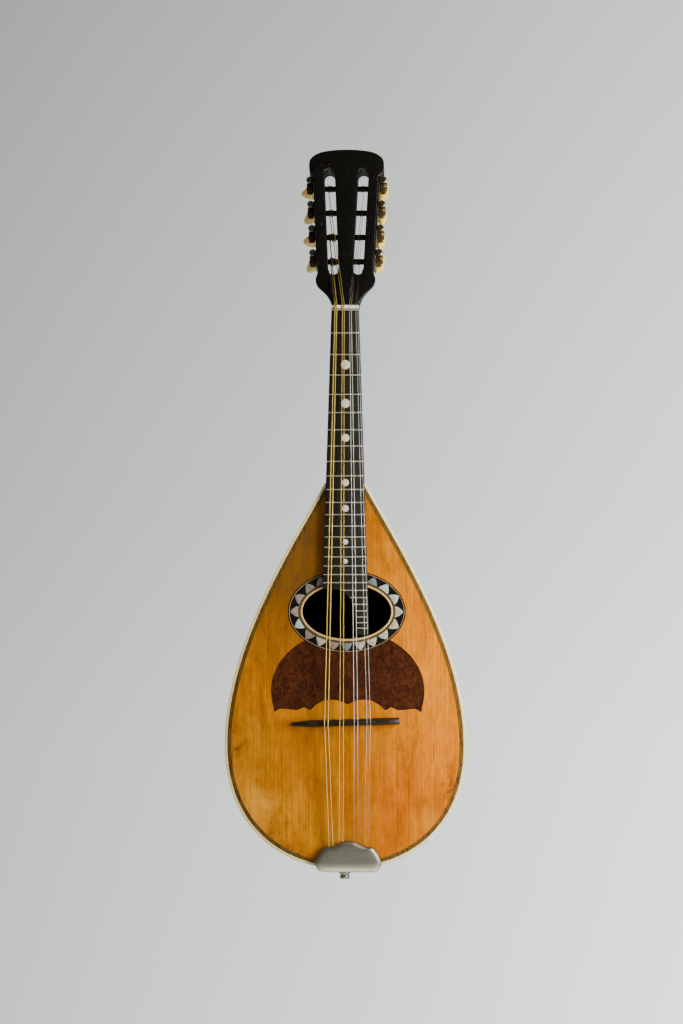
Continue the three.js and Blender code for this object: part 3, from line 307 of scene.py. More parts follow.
COVER_SHARES = [
    (0, 1), (0.12, 0.99), (0.22, 0.96), (0.33, 0.905), (0.43, 0.86), (0.56, 0.815), (0.68, 0.8),
    (0.75, 0.785), (0.82, 0.71), (0.9, 0.6), (0.96, 0.48), (1, 0.36), (1, 0.26), (0.97, 0.17), (0.9, 0.06),
    (0.76, 0), (0.4, 0),
]
COVER_RISE_SHARES = [
    (0, 0), (0, 0.35), (0.02, 0.62), (0.06, 0.8), (0.12, 0.9), (0.22, 0.955), (0.4, 0.985), (0.62, 0.997),
    (0.84, 1.0),
]
CLASP_INSET = 0.15
CLASP_DEPTHS = (12.0, BODY_WALL - 0.5)
CLASP_START = 1.5
CLASP_TAPER_ROWS = 6
PIN = (-1.0, BODY_WALL - 4.0)
PIN_PROFILE = [
    (0, 20), (3.2, 20), (3.2, 0), (4.6, 0), (4.8, -0.3), (4.8, -1.5), (4.6, -1.8), (3.7, -2.2), (3.5, -2.8),
    (3.9, -3.6), (4.0, -4.6), (3.9, -5.7), (3.4, -6.3), (0, -6.4),
]

# Stains, worn places and painted shade of the soundboard: centre, radii, strength and, in two lists, tint
PALE_SPOTS = [
    ((-64, -400), (38, 60), 0.8), ((-80, -390), (16, 28), 0.9), ((66, -415), (20, 30), 0.8),
    ((-8, -430), (28, 18), 0.7), ((-72, -335), (18, 20), 0.5), ((76, -318), (12, 36), 0.5),
]
DARK_SPOTS_AND_PAINTED_SHADE = [
    # Painted shade: the band across at the bridge's line and the two small spots below its left end are the
    # bridge's painted shadow; the first spot, beside the neck, is partly stain and partly painted shade.
    ((-54, -225), (52, 95), 0.45, (0.55, 0.47, 0.34)), ((24, -170), (10, 50), 0.6, (0.6, 0.5, 0.4)),
    ((0, -334), (110, 5), 0.32, (0.5, 0.42, 0.35)), ((-46, -335), (14, 9), 0.6, (0.4, 0.33, 0.28)),
    ((-33, -349), (24, 17), 0.5, (0.58, 0.47, 0.36)), ((40, -400), (66, 66), 0.8, (0.92, 0.70, 0.30)),
    ((-100, -300), (40, 120), 0.3, (0.65, 0.56, 0.42)), ((0, -452), (70, 14), 0.5, (0.6, 0.5, 0.4)),
]
STAIN = ((-42, -200), (56, 108), 0.92, (0.098, 0.047, 0.012))
DIRT_SPOTS = [
    ((-60, -427), (14, 9), 1.0), ((-45, -437), (16, 7), 1.0), ((-88, -352), (10, 26), 0.9),
    ((84, -388), (14, 26), 0.8),
]


# Lines and angles
def circle(steps):
    """Angles all round a circle."""
    return [2 * math.pi * i / steps for i in range(steps)]


def sweep(start, end, steps):
    """Values from start to end, both included."""
    return [start + (end - start) * i / steps for i in range(steps + 1)]


def blend(low, high, share):
    return low + (high - low) * share


def limit(share):
    return min(1.0, max(0.0, share))


def smooth(share):
    t = limit(share)
    return t * t * (3 - 2 * t)


def spline(points, steps):
    """A smooth line through points."""
    spots = [Vector(point) for point in points]
    last = len(spots) - 1
    line = []
    for i in range(last):
        a, b, c, d = (spots[min(max(i + k, 0), last)] for k in (-1, 0, 1, 2))
        for t in (step / steps for step in range(steps)):
            line.append(0.5 * (2 * b + (c - a) * t + (2 * a - 5 * b + 4 * c - d) * t * t
                               + (3 * b - a - 3 * c + d) * t ** 3))
    return [tuple(point) for point in (*line, spots[-1])]


def ellipse(centre, radii, growth=0.0, steps=120):
    return [(centre[0] + (radii[0] + growth) * math.cos(t), centre[1] + (radii[1] + growth) * math.sin(t))
            for t in circle(steps)]


def scaled(shares, width, height):
    return [(a * width, b * height) for a, b in shares]


def mirrored(points):
    return [(-x, z) for x, z in reversed(points)]


def shift(x, y, z):
    return Matrix.Translation((x, y, z))


def turn(angle, axis):
    return Matrix.Rotation(angle, 4, axis)


# Mesh making
MERGE_DISTANCE = 0.0005
EDGE_ANGLE = math.radians(35)


@contextmanager
def editing(mesh):
    """Opens a mesh for editing and writes it back."""
    work = bmesh.new()
    work.from_mesh(mesh)
    yield work
    work.to_mesh(mesh)
    work.free()


def link(name, data):
    piece = bpy.data.objects.new(name, data)
    bpy.context.scene.collection.objects.link(piece)
    return piece


def clean(mesh):
    """Merges doubled points and turns the faces outward."""
    with editing(mesh) as work:
        bmesh.ops.remove_doubles(work, verts=work.verts, dist=MERGE_DISTANCE)
        bmesh.ops.dissolve_degenerate(work, edges=work.edges, dist=MERGE_DISTANCE)
        bmesh.ops.recalc_face_normals(work, faces=work.faces)


def build(name, vertices, faces):
    mesh = bpy.data.meshes.new(name)
    mesh.from_pydata([tuple(v) for v in vertices], [], faces)
    clean(mesh)
    return link(name, mesh)


def shown_mesh(piece):
    graph = bpy.context.evaluated_depsgraph_get()
    return bpy.data.meshes.new_from_object(piece.evaluated_get(graph))


def loft(name, rings):
    """A skin over closed rings of equal length, with a face over each end."""
    size = len(rings[0])
    last = (len(rings) - 1) * size
    faces = []
    for row in range(0, last, size):
        for side in range(size):
            a, b = row + side, row + (side + 1) % size
            faces.append((a, b, b + size, a + size))
    faces += [tuple(range(size)), tuple(range(last, last + size))]
    return build(name, [point for ring in rings for point in ring], faces)


def plate(name, loops, front, back, bevel=0.0, steps=2):
    """A flat sheet with outlines drawn in X and Z, holes included, and rounded edges."""
    curve = bpy.data.curves.new(name, "CURVE")
    curve.dimensions = "2D"
    curve.fill_mode = "BOTH"
    curve.extrude = (back - front) / 2 - bevel
    curve.bevel_depth = bevel
    curve.bevel_resolution = steps
    curve.offset = -bevel
    for loop in loops:
        line = curve.splines.new("POLY")
        line.points.add(len(loop) - 1)
        line.use_cyclic_u = True
        for spot, (x, z) in zip(line.points, loop):
            spot.co = (x, z, 0, 1)
    drawn = link(name, curve)
    mesh = shown_mesh(drawn)
    bpy.data.objects.remove(drawn)
    mesh.transform(Matrix(((1, 0, 0, 0), (0, 0, -1, (front + back) / 2), (0, 1, 0, 0), (0, 0, 0, 1))))
    clean(mesh)
    return link(name, mesh)


def box_piece(name, low, high, bevel=0.0, steps=2):
    vertices = [(x, y, z) for x in (low[0], high[0]) for y in (low[1], high[1]) for z in (low[2], high[2])]
    faces = [(0, 1, 3, 2), (4, 6, 7, 5), (0, 4, 5, 1), (2, 3, 7, 6), (0, 2, 6, 4), (1, 5, 7, 3)]
    piece = build(name, vertices, faces)
    return round_edges(piece, bevel, steps) if bevel else piece


def lathe(name, profile, sides, flatten=lambda radius: 1):
    """A body turned about Z from (radius, height) points; flatten squeezes it in Y by radius."""
    rings = []
    for radius, height in profile:
        depth = radius * flatten(radius)
        rings.append([(radius * math.cos(t), depth * math.sin(t), height) for t in circle(sides)])
    return loft(name, rings)


def rod(name, axis, radius, ends, centre, sides=28):
    """A round bar along one axis between two ends; centre is its place on the other two axes."""
    rings = []
    for end in ends:
        ring = [[centre[0] + radius * math.cos(t), centre[1] + radius * math.sin(t)] for t in circle(sides)]
        for point in ring:
            point.insert("XYZ".index(axis), end)
        rings.append(ring)
    return loft(name, rings)


def tube(name, points, radius, sides=12):
    rings = []
    side = Vector((1, 0, 0))
    for i, point in enumerate(points):
        along = (points[min(i + 1, len(points) - 1)] - points[max(i - 1, 0)]).normalized()
        side = (side - along * side.dot(along)).normalized()
        up = along.cross(side)
        rings.append([point + (side * math.cos(t) + up * math.sin(t)) * radius for t in circle(sides)])
    return loft(name, rings)


def modify(piece, kind, **settings):
    """Adds a modifier and applies it."""
    modifier = piece.modifiers.new("shape", kind)
    for name, value in settings.items():
        setattr(modifier, name, value)
    mesh = shown_mesh(piece)
    piece.modifiers.clear()
    piece.data = mesh
    return piece


def round_edges(piece, width, steps=2):
    return modify(piece, "BEVEL", width=width, segments=steps, limit_method="ANGLE", angle_limit=EDGE_ANGLE)


def boolean(piece, other, operation="DIFFERENCE"):
    modify(piece, "BOOLEAN", operation=operation, solver="MANIFOLD", object=other)
    bpy.data.objects.remove(other)
    return piece


def join(name, pieces):
    """One object from several, whose materials keep their faces."""
    work = bmesh.new()
    materials = []
    for piece in pieces:
        first = len(work.faces)
        work.from_mesh(piece.data)
        work.faces.ensure_lookup_table()
        own = [slot.material for slot in piece.material_slots] or [None]
        materials += [material for material in own if material not in materials]
        for face in work.faces[first:]:
            face.material_index = materials.index(own[min(face.material_index, len(own) - 1)])
        bpy.data.objects.remove(piece)
    mesh = bpy.data.meshes.new(name)
    work.to_mesh(mesh)
    work.free()
    for material in filter(None, materials):
        mesh.materials.append(material)
    return link(name, mesh)


def transform(piece, matrix):
    piece.data.transform(matrix)
    if matrix.determinant() < 0:
        piece.data.flip_normals()
    return piece


def paint(piece, surface):
    piece.data.materials.clear()
    piece.data.materials.append(MATERIALS[surface])
    return piece


def place(piece, surface, slot, *nodes, body="root", angle=38):
    """Turns a finished mesh into metres and hands it to the frame, with the CAD nodes that it stands for."""
    if surface:
        paint(piece, surface)
    with editing(piece.data) as work:
        for face in work.faces:
            face.smooth = True
        for edge in work.edges:
            edge.smooth = len(edge.link_faces) == 2 and edge.calc_face_angle(math.pi) < math.radians(angle)
    piece.data.transform(Matrix.Scale(METRE, 4))
    piece.data.update()
    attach(piece, body)
    if nodes:
        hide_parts(*nodes)


# Body surfaces
FLANK = [Vector(spot) for spot in (
    (SHOULDER_HALF_WIDTH, -SHOULDER_DROP),
    (SHOULDER_HALF_WIDTH + SHOULDER_FLARE[0], -SHOULDER_DROP - SHOULDER_FLARE[1]),
    (WIDEST_HALF_WIDTH, -WIDEST_DROP + FLANK_RISE),
    (WIDEST_HALF_WIDTH, -WIDEST_DROP),
)]
TAIL = [Vector(spot) for spot in (
    (WIDEST_HALF_WIDTH, -WIDEST_DROP),
    (WIDEST_HALF_WIDTH, -WIDEST_DROP - FLANK_FALL),
    (TAIL_REACH, -TAIL_DROP),
    (0, -TAIL_DROP),
)]


def bezier(a, b, c, d, t):
    point = a * (1 - t) ** 3 + b * 3 * t * (1 - t) ** 2 + c * 3 * t * t * (1 - t) + d * t ** 3
    slope = (b - a) * 3 * (1 - t) ** 2 + (c - b) * 6 * t * (1 - t) + (d - c) * 3 * t * t
    return point, slope.normalized()


def wall_depth(z):
    return blend(SHOULDER_WALL, BODY_WALL, smooth((-z - SHOULDER_DROP) / (WIDEST_DROP - SHOULDER_DROP)))


def cant_at(z):
    return max(0.0, (-z - BRIDGE_DROP) * math.tan(CANT))


def station(share):
    """Half width, height, direction and wall slope of the outline, 0 at the shoulder and 2 at the tail."""
    point, slope = bezier(*FLANK, share) if share <= 1 else bezier(*TAIL, share - 1)
    deeper = wall_depth(point.y + slope.y * SLOPE_STEP) - wall_depth(point.y)
    return point.x, point.y, slope.x, slope.y, deeper / SLOPE_STEP


def bowl_point(where, angle, inset):
    width, z, along_x, along_z, wall_slope = where
    side, deep = math.cos(angle), math.sin(angle)
    outward = Vector((
        -DOME_DEPTH_SHARE * side * along_z,
        -deep * along_z,
        wall_slope * deep + DOME_DEPTH_SHARE * along_x,
    )).normalized()
    return Vector((width * side, wall_depth(z) + DOME_DEPTH_SHARE * width * deep, z)) - outward * inset


def rim_point(where, side, inset, depth, canted=True):
    """A point inside the rim, at a depth behind the soundboard's front or, not canted, behind its plane."""
    point = bowl_point(where, 0 if side > 0 else math.pi, inset)
    point.y = depth + (cant_at(point.z) if canted else 0)
    return point


def share_at(height):
    """Share of the flank at which the outline passes a height."""
    low, high = 0.0, 1.0
    for _ in range(30):
        middle = (low + high) / 2
        if station(middle)[1] > height:
            low = middle
        else:
            high = middle
    return low


def shares_between(start, end, steps=34):
    bend = share_at(-BRIDGE_DROP)
    first = sorted([i / steps for i in range(steps)] + [bend - BEND_STEP, bend, bend + BEND_STEP])
    return [start] + [s for s in first + sweep(1, 2, steps) if start < s < end] + [end]


def rim_stations(start=0.0):
    right = [(station(share), 1) for share in shares_between(start, 2.0)]
    return right + [(where, -1) for where, _ in reversed(right[:-1])]


def rim_loft(name, corners, start=0.0):
    """A strip that follows the rim; corners gives its section from the row, counted from the nearer end."""
    stations = rim_stations(start)
    rings = []
    for i, at in enumerate(stations):
        rings.append([rim_point(*at, *corner) for corner in corners(min(i, len(stations) - 1 - i))])
    return loft(name, rings)


# Materials
class Nodes:
    """Makes the nodes of one tree. Each call gives back the new node's output."""

    def __init__(self, tree):
        self.tree = tree

    def node(self, kind, output, values, **settings):
        node = self.tree.nodes.new(f"ShaderNode{kind}")
        for name, setting in settings.items():
            setattr(node, name, setting)
        for name, value in values.items():
            socket = node.inputs[name]
            if isinstance(value, bpy.types.NodeSocket):
                self.tree.links.new(value, socket)
            else:
                socket.default_value = (*value, 1) if socket.type == "RGBA" else value
        return node.outputs[output]

    def coordinate(self, space="Object"):
        return self.node("TexCoord", space, {})

    def axis(self, name, space="Object"):
        return self.node("SeparateXYZ", name, {"Vector": self.coordinate(space)})

    def stretched(self, scale, offset=(0, 0, 0)):
        scale = scale if isinstance(scale, tuple) else (scale,) * 3
        values = {"Vector": self.coordinate(), "Scale": scale, "Location": offset}
        return self.node("Mapping", "Vector", values)

    def noise(self, scale, detail, roughness=0.55, distortion=0.0, offset=(0, 0, 0)):
        """Cloudy noise, finer along an axis the higher its scale."""
        return self.node("TexNoise", "Fac", {
            "Vector": self.stretched(scale, offset), "Scale": 1.0, "Detail": detail, "Roughness": roughness,
            "Distortion": distortion,
        })

    def ramp(self, value, *stops):
        """Colours, or numbers for greys, at places from 0 to 1."""
        node = self.tree.nodes.new("ShaderNodeValToRGB")
        band = node.color_ramp
        while len(band.elements) < len(stops):
            band.elements.new(0.5)
        for element, (where, colour) in zip(band.elements, stops):
            element.position = where
            element.color = (*(colour if isinstance(colour, tuple) else (colour,) * 3), 1)
        self.tree.links.new(value, node.inputs["Fac"])
        return node.outputs["Color"]

    def mix(self, kind, factor, first, second):
        values = {"Factor": factor, "A": first, "B": second}
        return self.node("Mix", "Result", values, data_type="RGBA", blend_type=kind)

    def math(self, operation, *values):
        return self.node("Math", "Value", dict(enumerate(values)), operation=operation)

    def product(self, first, *others):
        for other in others:
            first = self.math("MULTIPLY", first, other)
        return first

    def left_to_right(self):
        """Place from the left rim to the right one, from 0 to 1."""
        return self.math("MULTIPLY_ADD", self.axis("X"), 5.0, 0.5)

    def facing(self, direction):
        """How far the surface faces a direction: 1 along it, 0 square to it."""
        values = {0: self.coordinate("Normal"), 1: direction}
        return self.node("VectorMath", "Value", values, operation="DOT_PRODUCT")

    def spot(self, centre, radii, soft=1.0):
        """A soft patch: 1 at a centre in X and Z, 0 at its radii, in millimetres."""
        values = {
            "Vector": self.coordinate(), "Location": (centre[0] * METRE, 0, centre[1] * METRE),
            "Scale": (radii[0] * METRE, 1, radii[1] * METRE),
        }
        place_in_spot = self.node("Mapping", "Vector", values, vector_type="TEXTURE")
        length = self.node("VectorMath", "Value", {0: place_in_spot}, operation="LENGTH")
        return self.ramp(length, (1 - soft, 1.0), (1.0, 0.0))


class Finish(Nodes):
    """A procedural material, whose colour is laid in layers before done() joins it to the shader."""

    def __init__(self, name, rough, metal=0.0, coat=0.0, coat_rough=0.1, specular=0.5):
        self.material = bpy.data.materials.new(name)
        self.material.use_nodes = True
        super().__init__(self.material.node_tree)
        self.inputs = self.tree.nodes["Principled BSDF"].inputs
        self.inputs["Roughness"].default_value = rough
        self.inputs["Metallic"].default_value = metal
        self.inputs["Coat Weight"].default_value = coat
        self.inputs["Coat Roughness"].default_value = coat_rough
        self.inputs["Specular IOR Level"].default_value = specular

    def base(self, value, *stops):
        self.colour = self.ramp(value, *stops)

    def cover(self, amount, colour):
        self.colour = self.mix("MIX", amount, self.colour, colour)

    def shade(self, amount, colour):
        self.colour = self.mix("MULTIPLY", amount, self.colour, colour)

    def done(self, height=None, strength=0.1, distance=0.1):
        """Joins colour and bump, whose distance is in millimetres, to the shader."""
        self.tree.links.new(self.colour, self.inputs["Base Color"])
        if height:
            values = {"Height": height, "Strength": strength, "Distance": distance * METRE}
            self.tree.links.new(self.node("Bump", "Normal", values), self.inputs["Normal"])
        return self.material


def spruce():
    """Amber varnished spruce: fine upright grain, darkened beside the neck by stain and painted shade, paler
    where it is worn.
    """
    wood = Finish("spruce", 0.45, specular=0.02)
    broad = wood.noise((85, 60, 26), 7, 0.66, 0.5)
    grain = wood.noise((620, 60, 8), 4, 0.65)
    mottle = wood.noise((330, 60, 150), 5, 0.7, offset=(2, 0, 4))
    lines = wood.noise((2100, 90, 9), 2, 0.5)
    wood.base(broad, (0.28, (0.33, 0.098, 0.0)), (0.43, (0.44, 0.144, 0.0)), (0.55, (0.53, 0.180, 0.001)),
              (0.70, (0.64, 0.230, 0.004)))
    # Painted light: the board grows lighter and warmer towards the right rim, as lit from the right.
    side_light = ((0.1, (0.94, 0.94, 0.94)), (0.5, (1.03, 1.02, 0.8)), (0.85, (1.58, 1.32, 0.0)))
    wood.shade(1.0, wood.ramp(wood.left_to_right(), *side_light))
    streaks = wood.ramp(grain, (0.34, 0.6), (0.56, 1.0))
    wood.shade(0.5, streaks)
    wood.shade(0.5, wood.ramp(mottle, (0.34, 0.6), (0.54, 1.0)))
    wood.shade(0.55, wood.ramp(lines, (0.32, 0.4), (0.52, 1.0)))
    warm = wood.noise((34, 34, 13), 4, 0.6, 0.5, (0.4, 2.2, 5.0))
    wood.cover(wood.product(wood.ramp(warm, (0.5, 0.0), (0.72, 1.0)), 0.55), (0.50, 0.145, 0.001))
    cloud = wood.noise((30, 30, 16), 5, 0.62, 0.8, (3.1, 0, 1.7))
    cloud_mask = wood.product(wood.ramp(cloud, (0.43, 0.0), (0.66, 1.0)), streaks)
    for centre, radii, strength in PALE_SPOTS:
        wood.cover(wood.product(wood.spot(centre, radii), cloud_mask, strength), (0.76, 0.33, 0.022))
    # Stains, and painted shade along the bridge and beside the neck, darken the board.
    for centre, radii, strength, tint in DARK_SPOTS_AND_PAINTED_SHADE:
        wood.shade(wood.product(wood.spot(centre, radii), strength), tint)
    centre, radii, strength, tint = STAIN
    uneven = wood.ramp(broad, (0.3, 1.0), (0.75, 0.72))
    wood.cover(wood.product(wood.spot(centre, radii, 0.75), uneven, strength), tint)
    dirt = wood.ramp(wood.noise((150, 150, 130), 6, 0.72, offset=(5, 0, 3)), (0.47, 0.0), (0.56, 1.0))
    for centre, radii, strength in DIRT_SPOTS:
        wood.cover(wood.product(wood.spot(centre, radii), dirt, strength), (0.10, 0.045, 0.012))
    specks = wood.noise((520, 520, 210), 2, 0.5, offset=(7.0, 0, 2.0))
    wood.shade(0.6, wood.ramp(specks, (0.22, 0.3), (0.3, 1.0)))
    return wood.done(lines, 0.15, 0.15)


def dark_wood(name, base, light, rough, streak, coat=0.0):
    wood = Finish(name, rough, coat=coat, coat_rough=0.18, specular=0.22)
    grain = wood.noise(streak, 5, 0.62)
    wood.base(grain, (0.3, base), (0.75, light))
    return wood.done(grain)


def rib_wood():
    """Rosewood ribs with dark figure running along the bowl."""
    wood = Finish("rib_rosewood", 0.4, coat=0.35, coat_rough=0.14, specular=0.3)
    figure = wood.noise((170, 170, 7), 6, 0.6, 0.9)
    pores = wood.noise((1300, 1300, 40), 2, 0.5)
    wood.base(figure, (0.30, (0.020, 0.007, 0.004)), (0.43, (0.062, 0.019, 0.009)),
              (0.56, (0.125, 0.040, 0.016)), (0.72, (0.070, 0.021, 0.009)))
    wood.shade(0.5, wood.ramp(pores, (0.3, 0.45), (0.5, 1.0)))
    return wood.done(pores)


def ivory(name, tint, pale, rough, coat=0.1, left_shade_and_yellowing=None):
    """Yellowed ivory-like sheet with faint streaks and dirt; a left tint, if given, darkens its left side as
    painted shade and yellows it.
    """
    sheet = Finish(name, rough, coat=coat, coat_rough=0.15)
    streak = sheet.noise((500, 500, 60), 3, 0.5)
    sheet.base(sheet.noise(60, 4, 0.6), (0.3, tint), (0.7, pale))
    sheet.shade(0.35, sheet.ramp(streak, (0.3, 0.7), (0.6, 1.0)))
    dirt = sheet.noise((190, 190, 120), 4, 0.7, offset=(4, 1, 2))
    sheet.cover(sheet.product(sheet.ramp(dirt, (0.62, 0.0), (0.8, 1.0)), 0.35), (0.30, 0.17, 0.06))
    if left_shade_and_yellowing:
        # Painted shade: the left side is darkened, and yellowed, towards the left rim.
        sheet.shade(1.0, sheet.ramp(sheet.left_to_right(), (0.2, left_shade_and_yellowing), (0.7, 1.0)))
    return sheet.done(streak, 0.05)


def pearl(name, dark, light):
    """Mother of pearl: soft patches of grey, green and rose, and a bright gloss."""
    shell = Finish(name, 0.22, metal=0.15, coat=0.6, coat_rough=0.06, specular=0.6)
    green = tuple(a * b for a, b in zip(light, (0.72, 0.84, 0.80)))
    rose = tuple(a * b for a, b in zip(light, (0.92, 0.74, 0.74)))
    sheen = shell.noise(260, 2, 0.5, 1.6)
    shell.base(sheen, (0.28, dark), (0.42, green), (0.52, light), (0.62, rose), (0.75, light))
    return shell.done(shell.noise(320, 2, 0.5, 2.0), 0.25, 0.2)


def burl():
    """Dark red-brown burl with fine flecks and small swirling figure."""
    sheet = Finish("guard_burl", 0.4, specular=0.14)
    swirl = sheet.noise((310, 310, 230), 9, 0.76, 1.0)
    broad = sheet.noise((62, 62, 44), 5, 0.62, 1.0)
    eyes = sheet.node("TexVoronoi", "Distance", {"Scale": 1.0, "Vector": sheet.stretched((430, 430, 330))})
    sheet.base(swirl, (0.34, (0.020, 0.005, 0.003)), (0.45, (0.043, 0.011, 0.004)),
               (0.54, (0.072, 0.019, 0.005)), (0.68, (0.145, 0.038, 0.007)))
    sheet.shade(0.4, sheet.ramp(eyes, (0.1, 0.5), (0.5, 1.0)))
    sheet.shade(0.75, sheet.ramp(broad, (0.34, 0.42), (0.62, 1.0)))
    return sheet.done()


def metal(name, base, other, rough, scale, grime, painted_highlight_below=None):
    """Aged metal; a band height may be given, in millimetres, below which a painted highlight brightens it.
    """
    aged = Finish(name, rough, metal=1.0)
    cloud = aged.noise(scale, 5, 0.62)
    dirt = aged.noise(scale * 6, 3, 0.6)
    aged.base(cloud, (0.32, other), (0.62, base))
    aged.shade(grime, aged.ramp(dirt, (0.35, 0.35), (0.6, 1.0)))
    if painted_highlight_below:
        # Painted highlight: below the given height the metal is covered with a pale band.
        height = aged.math("ADD", aged.axis("Z"), 0.5 - painted_highlight_below * METRE)
        aged.cover(aged.ramp(height, (0.4985, 0.9), (0.5015, 0.0)), (0.86, 0.80, 0.62))
    aged.tree.links.new(aged.ramp(cloud, (0.3, rough + 0.16), (0.65, rough)), aged.inputs["Roughness"])
    return aged.done(dirt, 0.06)


def wire(name, rough, pattern, stops, tarnish_and_shade_tint, strength):
    """String metal, darkened towards the nut and beyond it, partly tarnish and partly painted shade; pattern
    gives its surface.
    """
    bright = Finish(name, rough, metal=1.0)
    surface = pattern(bright)
    bright.base(surface, *stops)
    # Darker towards the nut and fully so above it, where the strings run in the head's slots: partly tarnish,
    # partly painted shade.
    height = bright.math("ADD", bright.axis("Z"), 0.2)
    bright.shade(bright.ramp(height, (0.02, 0.0), (0.12, 0.35), (0.2, 0.7), (0.23, 1.0)), tarnish_and_shade_tint)
    return bright.done(surface, strength)


def close_winding(nodes):
    """Fine bands round the core of a wrapped string."""
    return nodes.node("TexWave", "Fac", {"Scale": 900.0, "Vector": nodes.coordinate()}, bands_direction="Z")


def black_lacquer():
    """Black lacquer over dark wood, with small brown chips, fine scratches and pale front edges, partly worn
    and partly painted highlight.
    """
    black = Finish("black_lacquer", 0.34, specular=0.3)
    grain = black.noise((900, 900, 14), 5, 0.62)
    black.base(grain, (0.3, (0.0022, 0.0020, 0.0015)), (0.75, (0.0065, 0.0055, 0.0032)))
    wear = black.ramp(black.noise((60, 60, 46), 3, 0.5, offset=(2, 5, 1)), (0.42, 0.0), (0.6, 1.0))
    chips = black.ramp(black.noise((620, 620, 480), 3, 0.6), (0.64, 0.0), (0.70, 1.0))
    black.cover(black.product(chips, wear, 0.85), (0.085, 0.050, 0.022))
    scratch = black.ramp(black.noise((1500, 1500, 24), 2, 0.5, 0.3, (3, 3, 7)), (0.70, 0.0), (0.74, 1.0))
    black.cover(black.product(scratch, 0.5), (0.07, 0.055, 0.035))
    # Painted highlight, partly wear: the bevelled edges round the front face and the slots are lightened in
    # patches.
    front = black.facing((0, -math.cos(HEAD_TILT), math.sin(HEAD_TILT)))
    rim = black.ramp(front, (0.15, 0.0), (0.35, 1.0), (0.85, 1.0), (0.97, 0.0))
    rubbed_and_highlit = black.ramp(black.noise((240, 240, 110), 3, 0.6, offset=(6, 1, 4)), (0.38, 0.15), (0.62, 1.0))
    black.cover(black.product(rim, rubbed_and_highlit, 0.8), (0.075, 0.062, 0.045))
    return black.done(grain)


def edge_band():
    """Brown edge band with dark chips along the lower rim, shaded on the left and lit on the right by painted
    light.
    """
    wood = Finish("edge_band_wood", 0.42, coat=0.2, coat_rough=0.2, specular=0.3)
    grain = wood.noise((500, 500, 70), 5, 0.62)
    wood.base(grain, (0.3, (0.056, 0.025, 0.003)), (0.7, (0.168, 0.088, 0.011)))
    # Painted light and shade: darker towards the left rim, lighter towards the right.
    wood.shade(1.0, wood.ramp(wood.left_to_right(), (0.05, 0.72), (0.5, 1.0), (0.9, 1.25)))
    chips = wood.ramp(wood.noise(260, 3, 0.6, offset=(1, 4, 2)), (0.58, 0.0), (0.64, 1.0))
    low = wood.math("LESS_THAN", wood.axis("Z"), -0.3)
    wood.cover(wood.product(chips, low, 0.85), (0.018, 0.010, 0.006))
    return wood.done(grain)


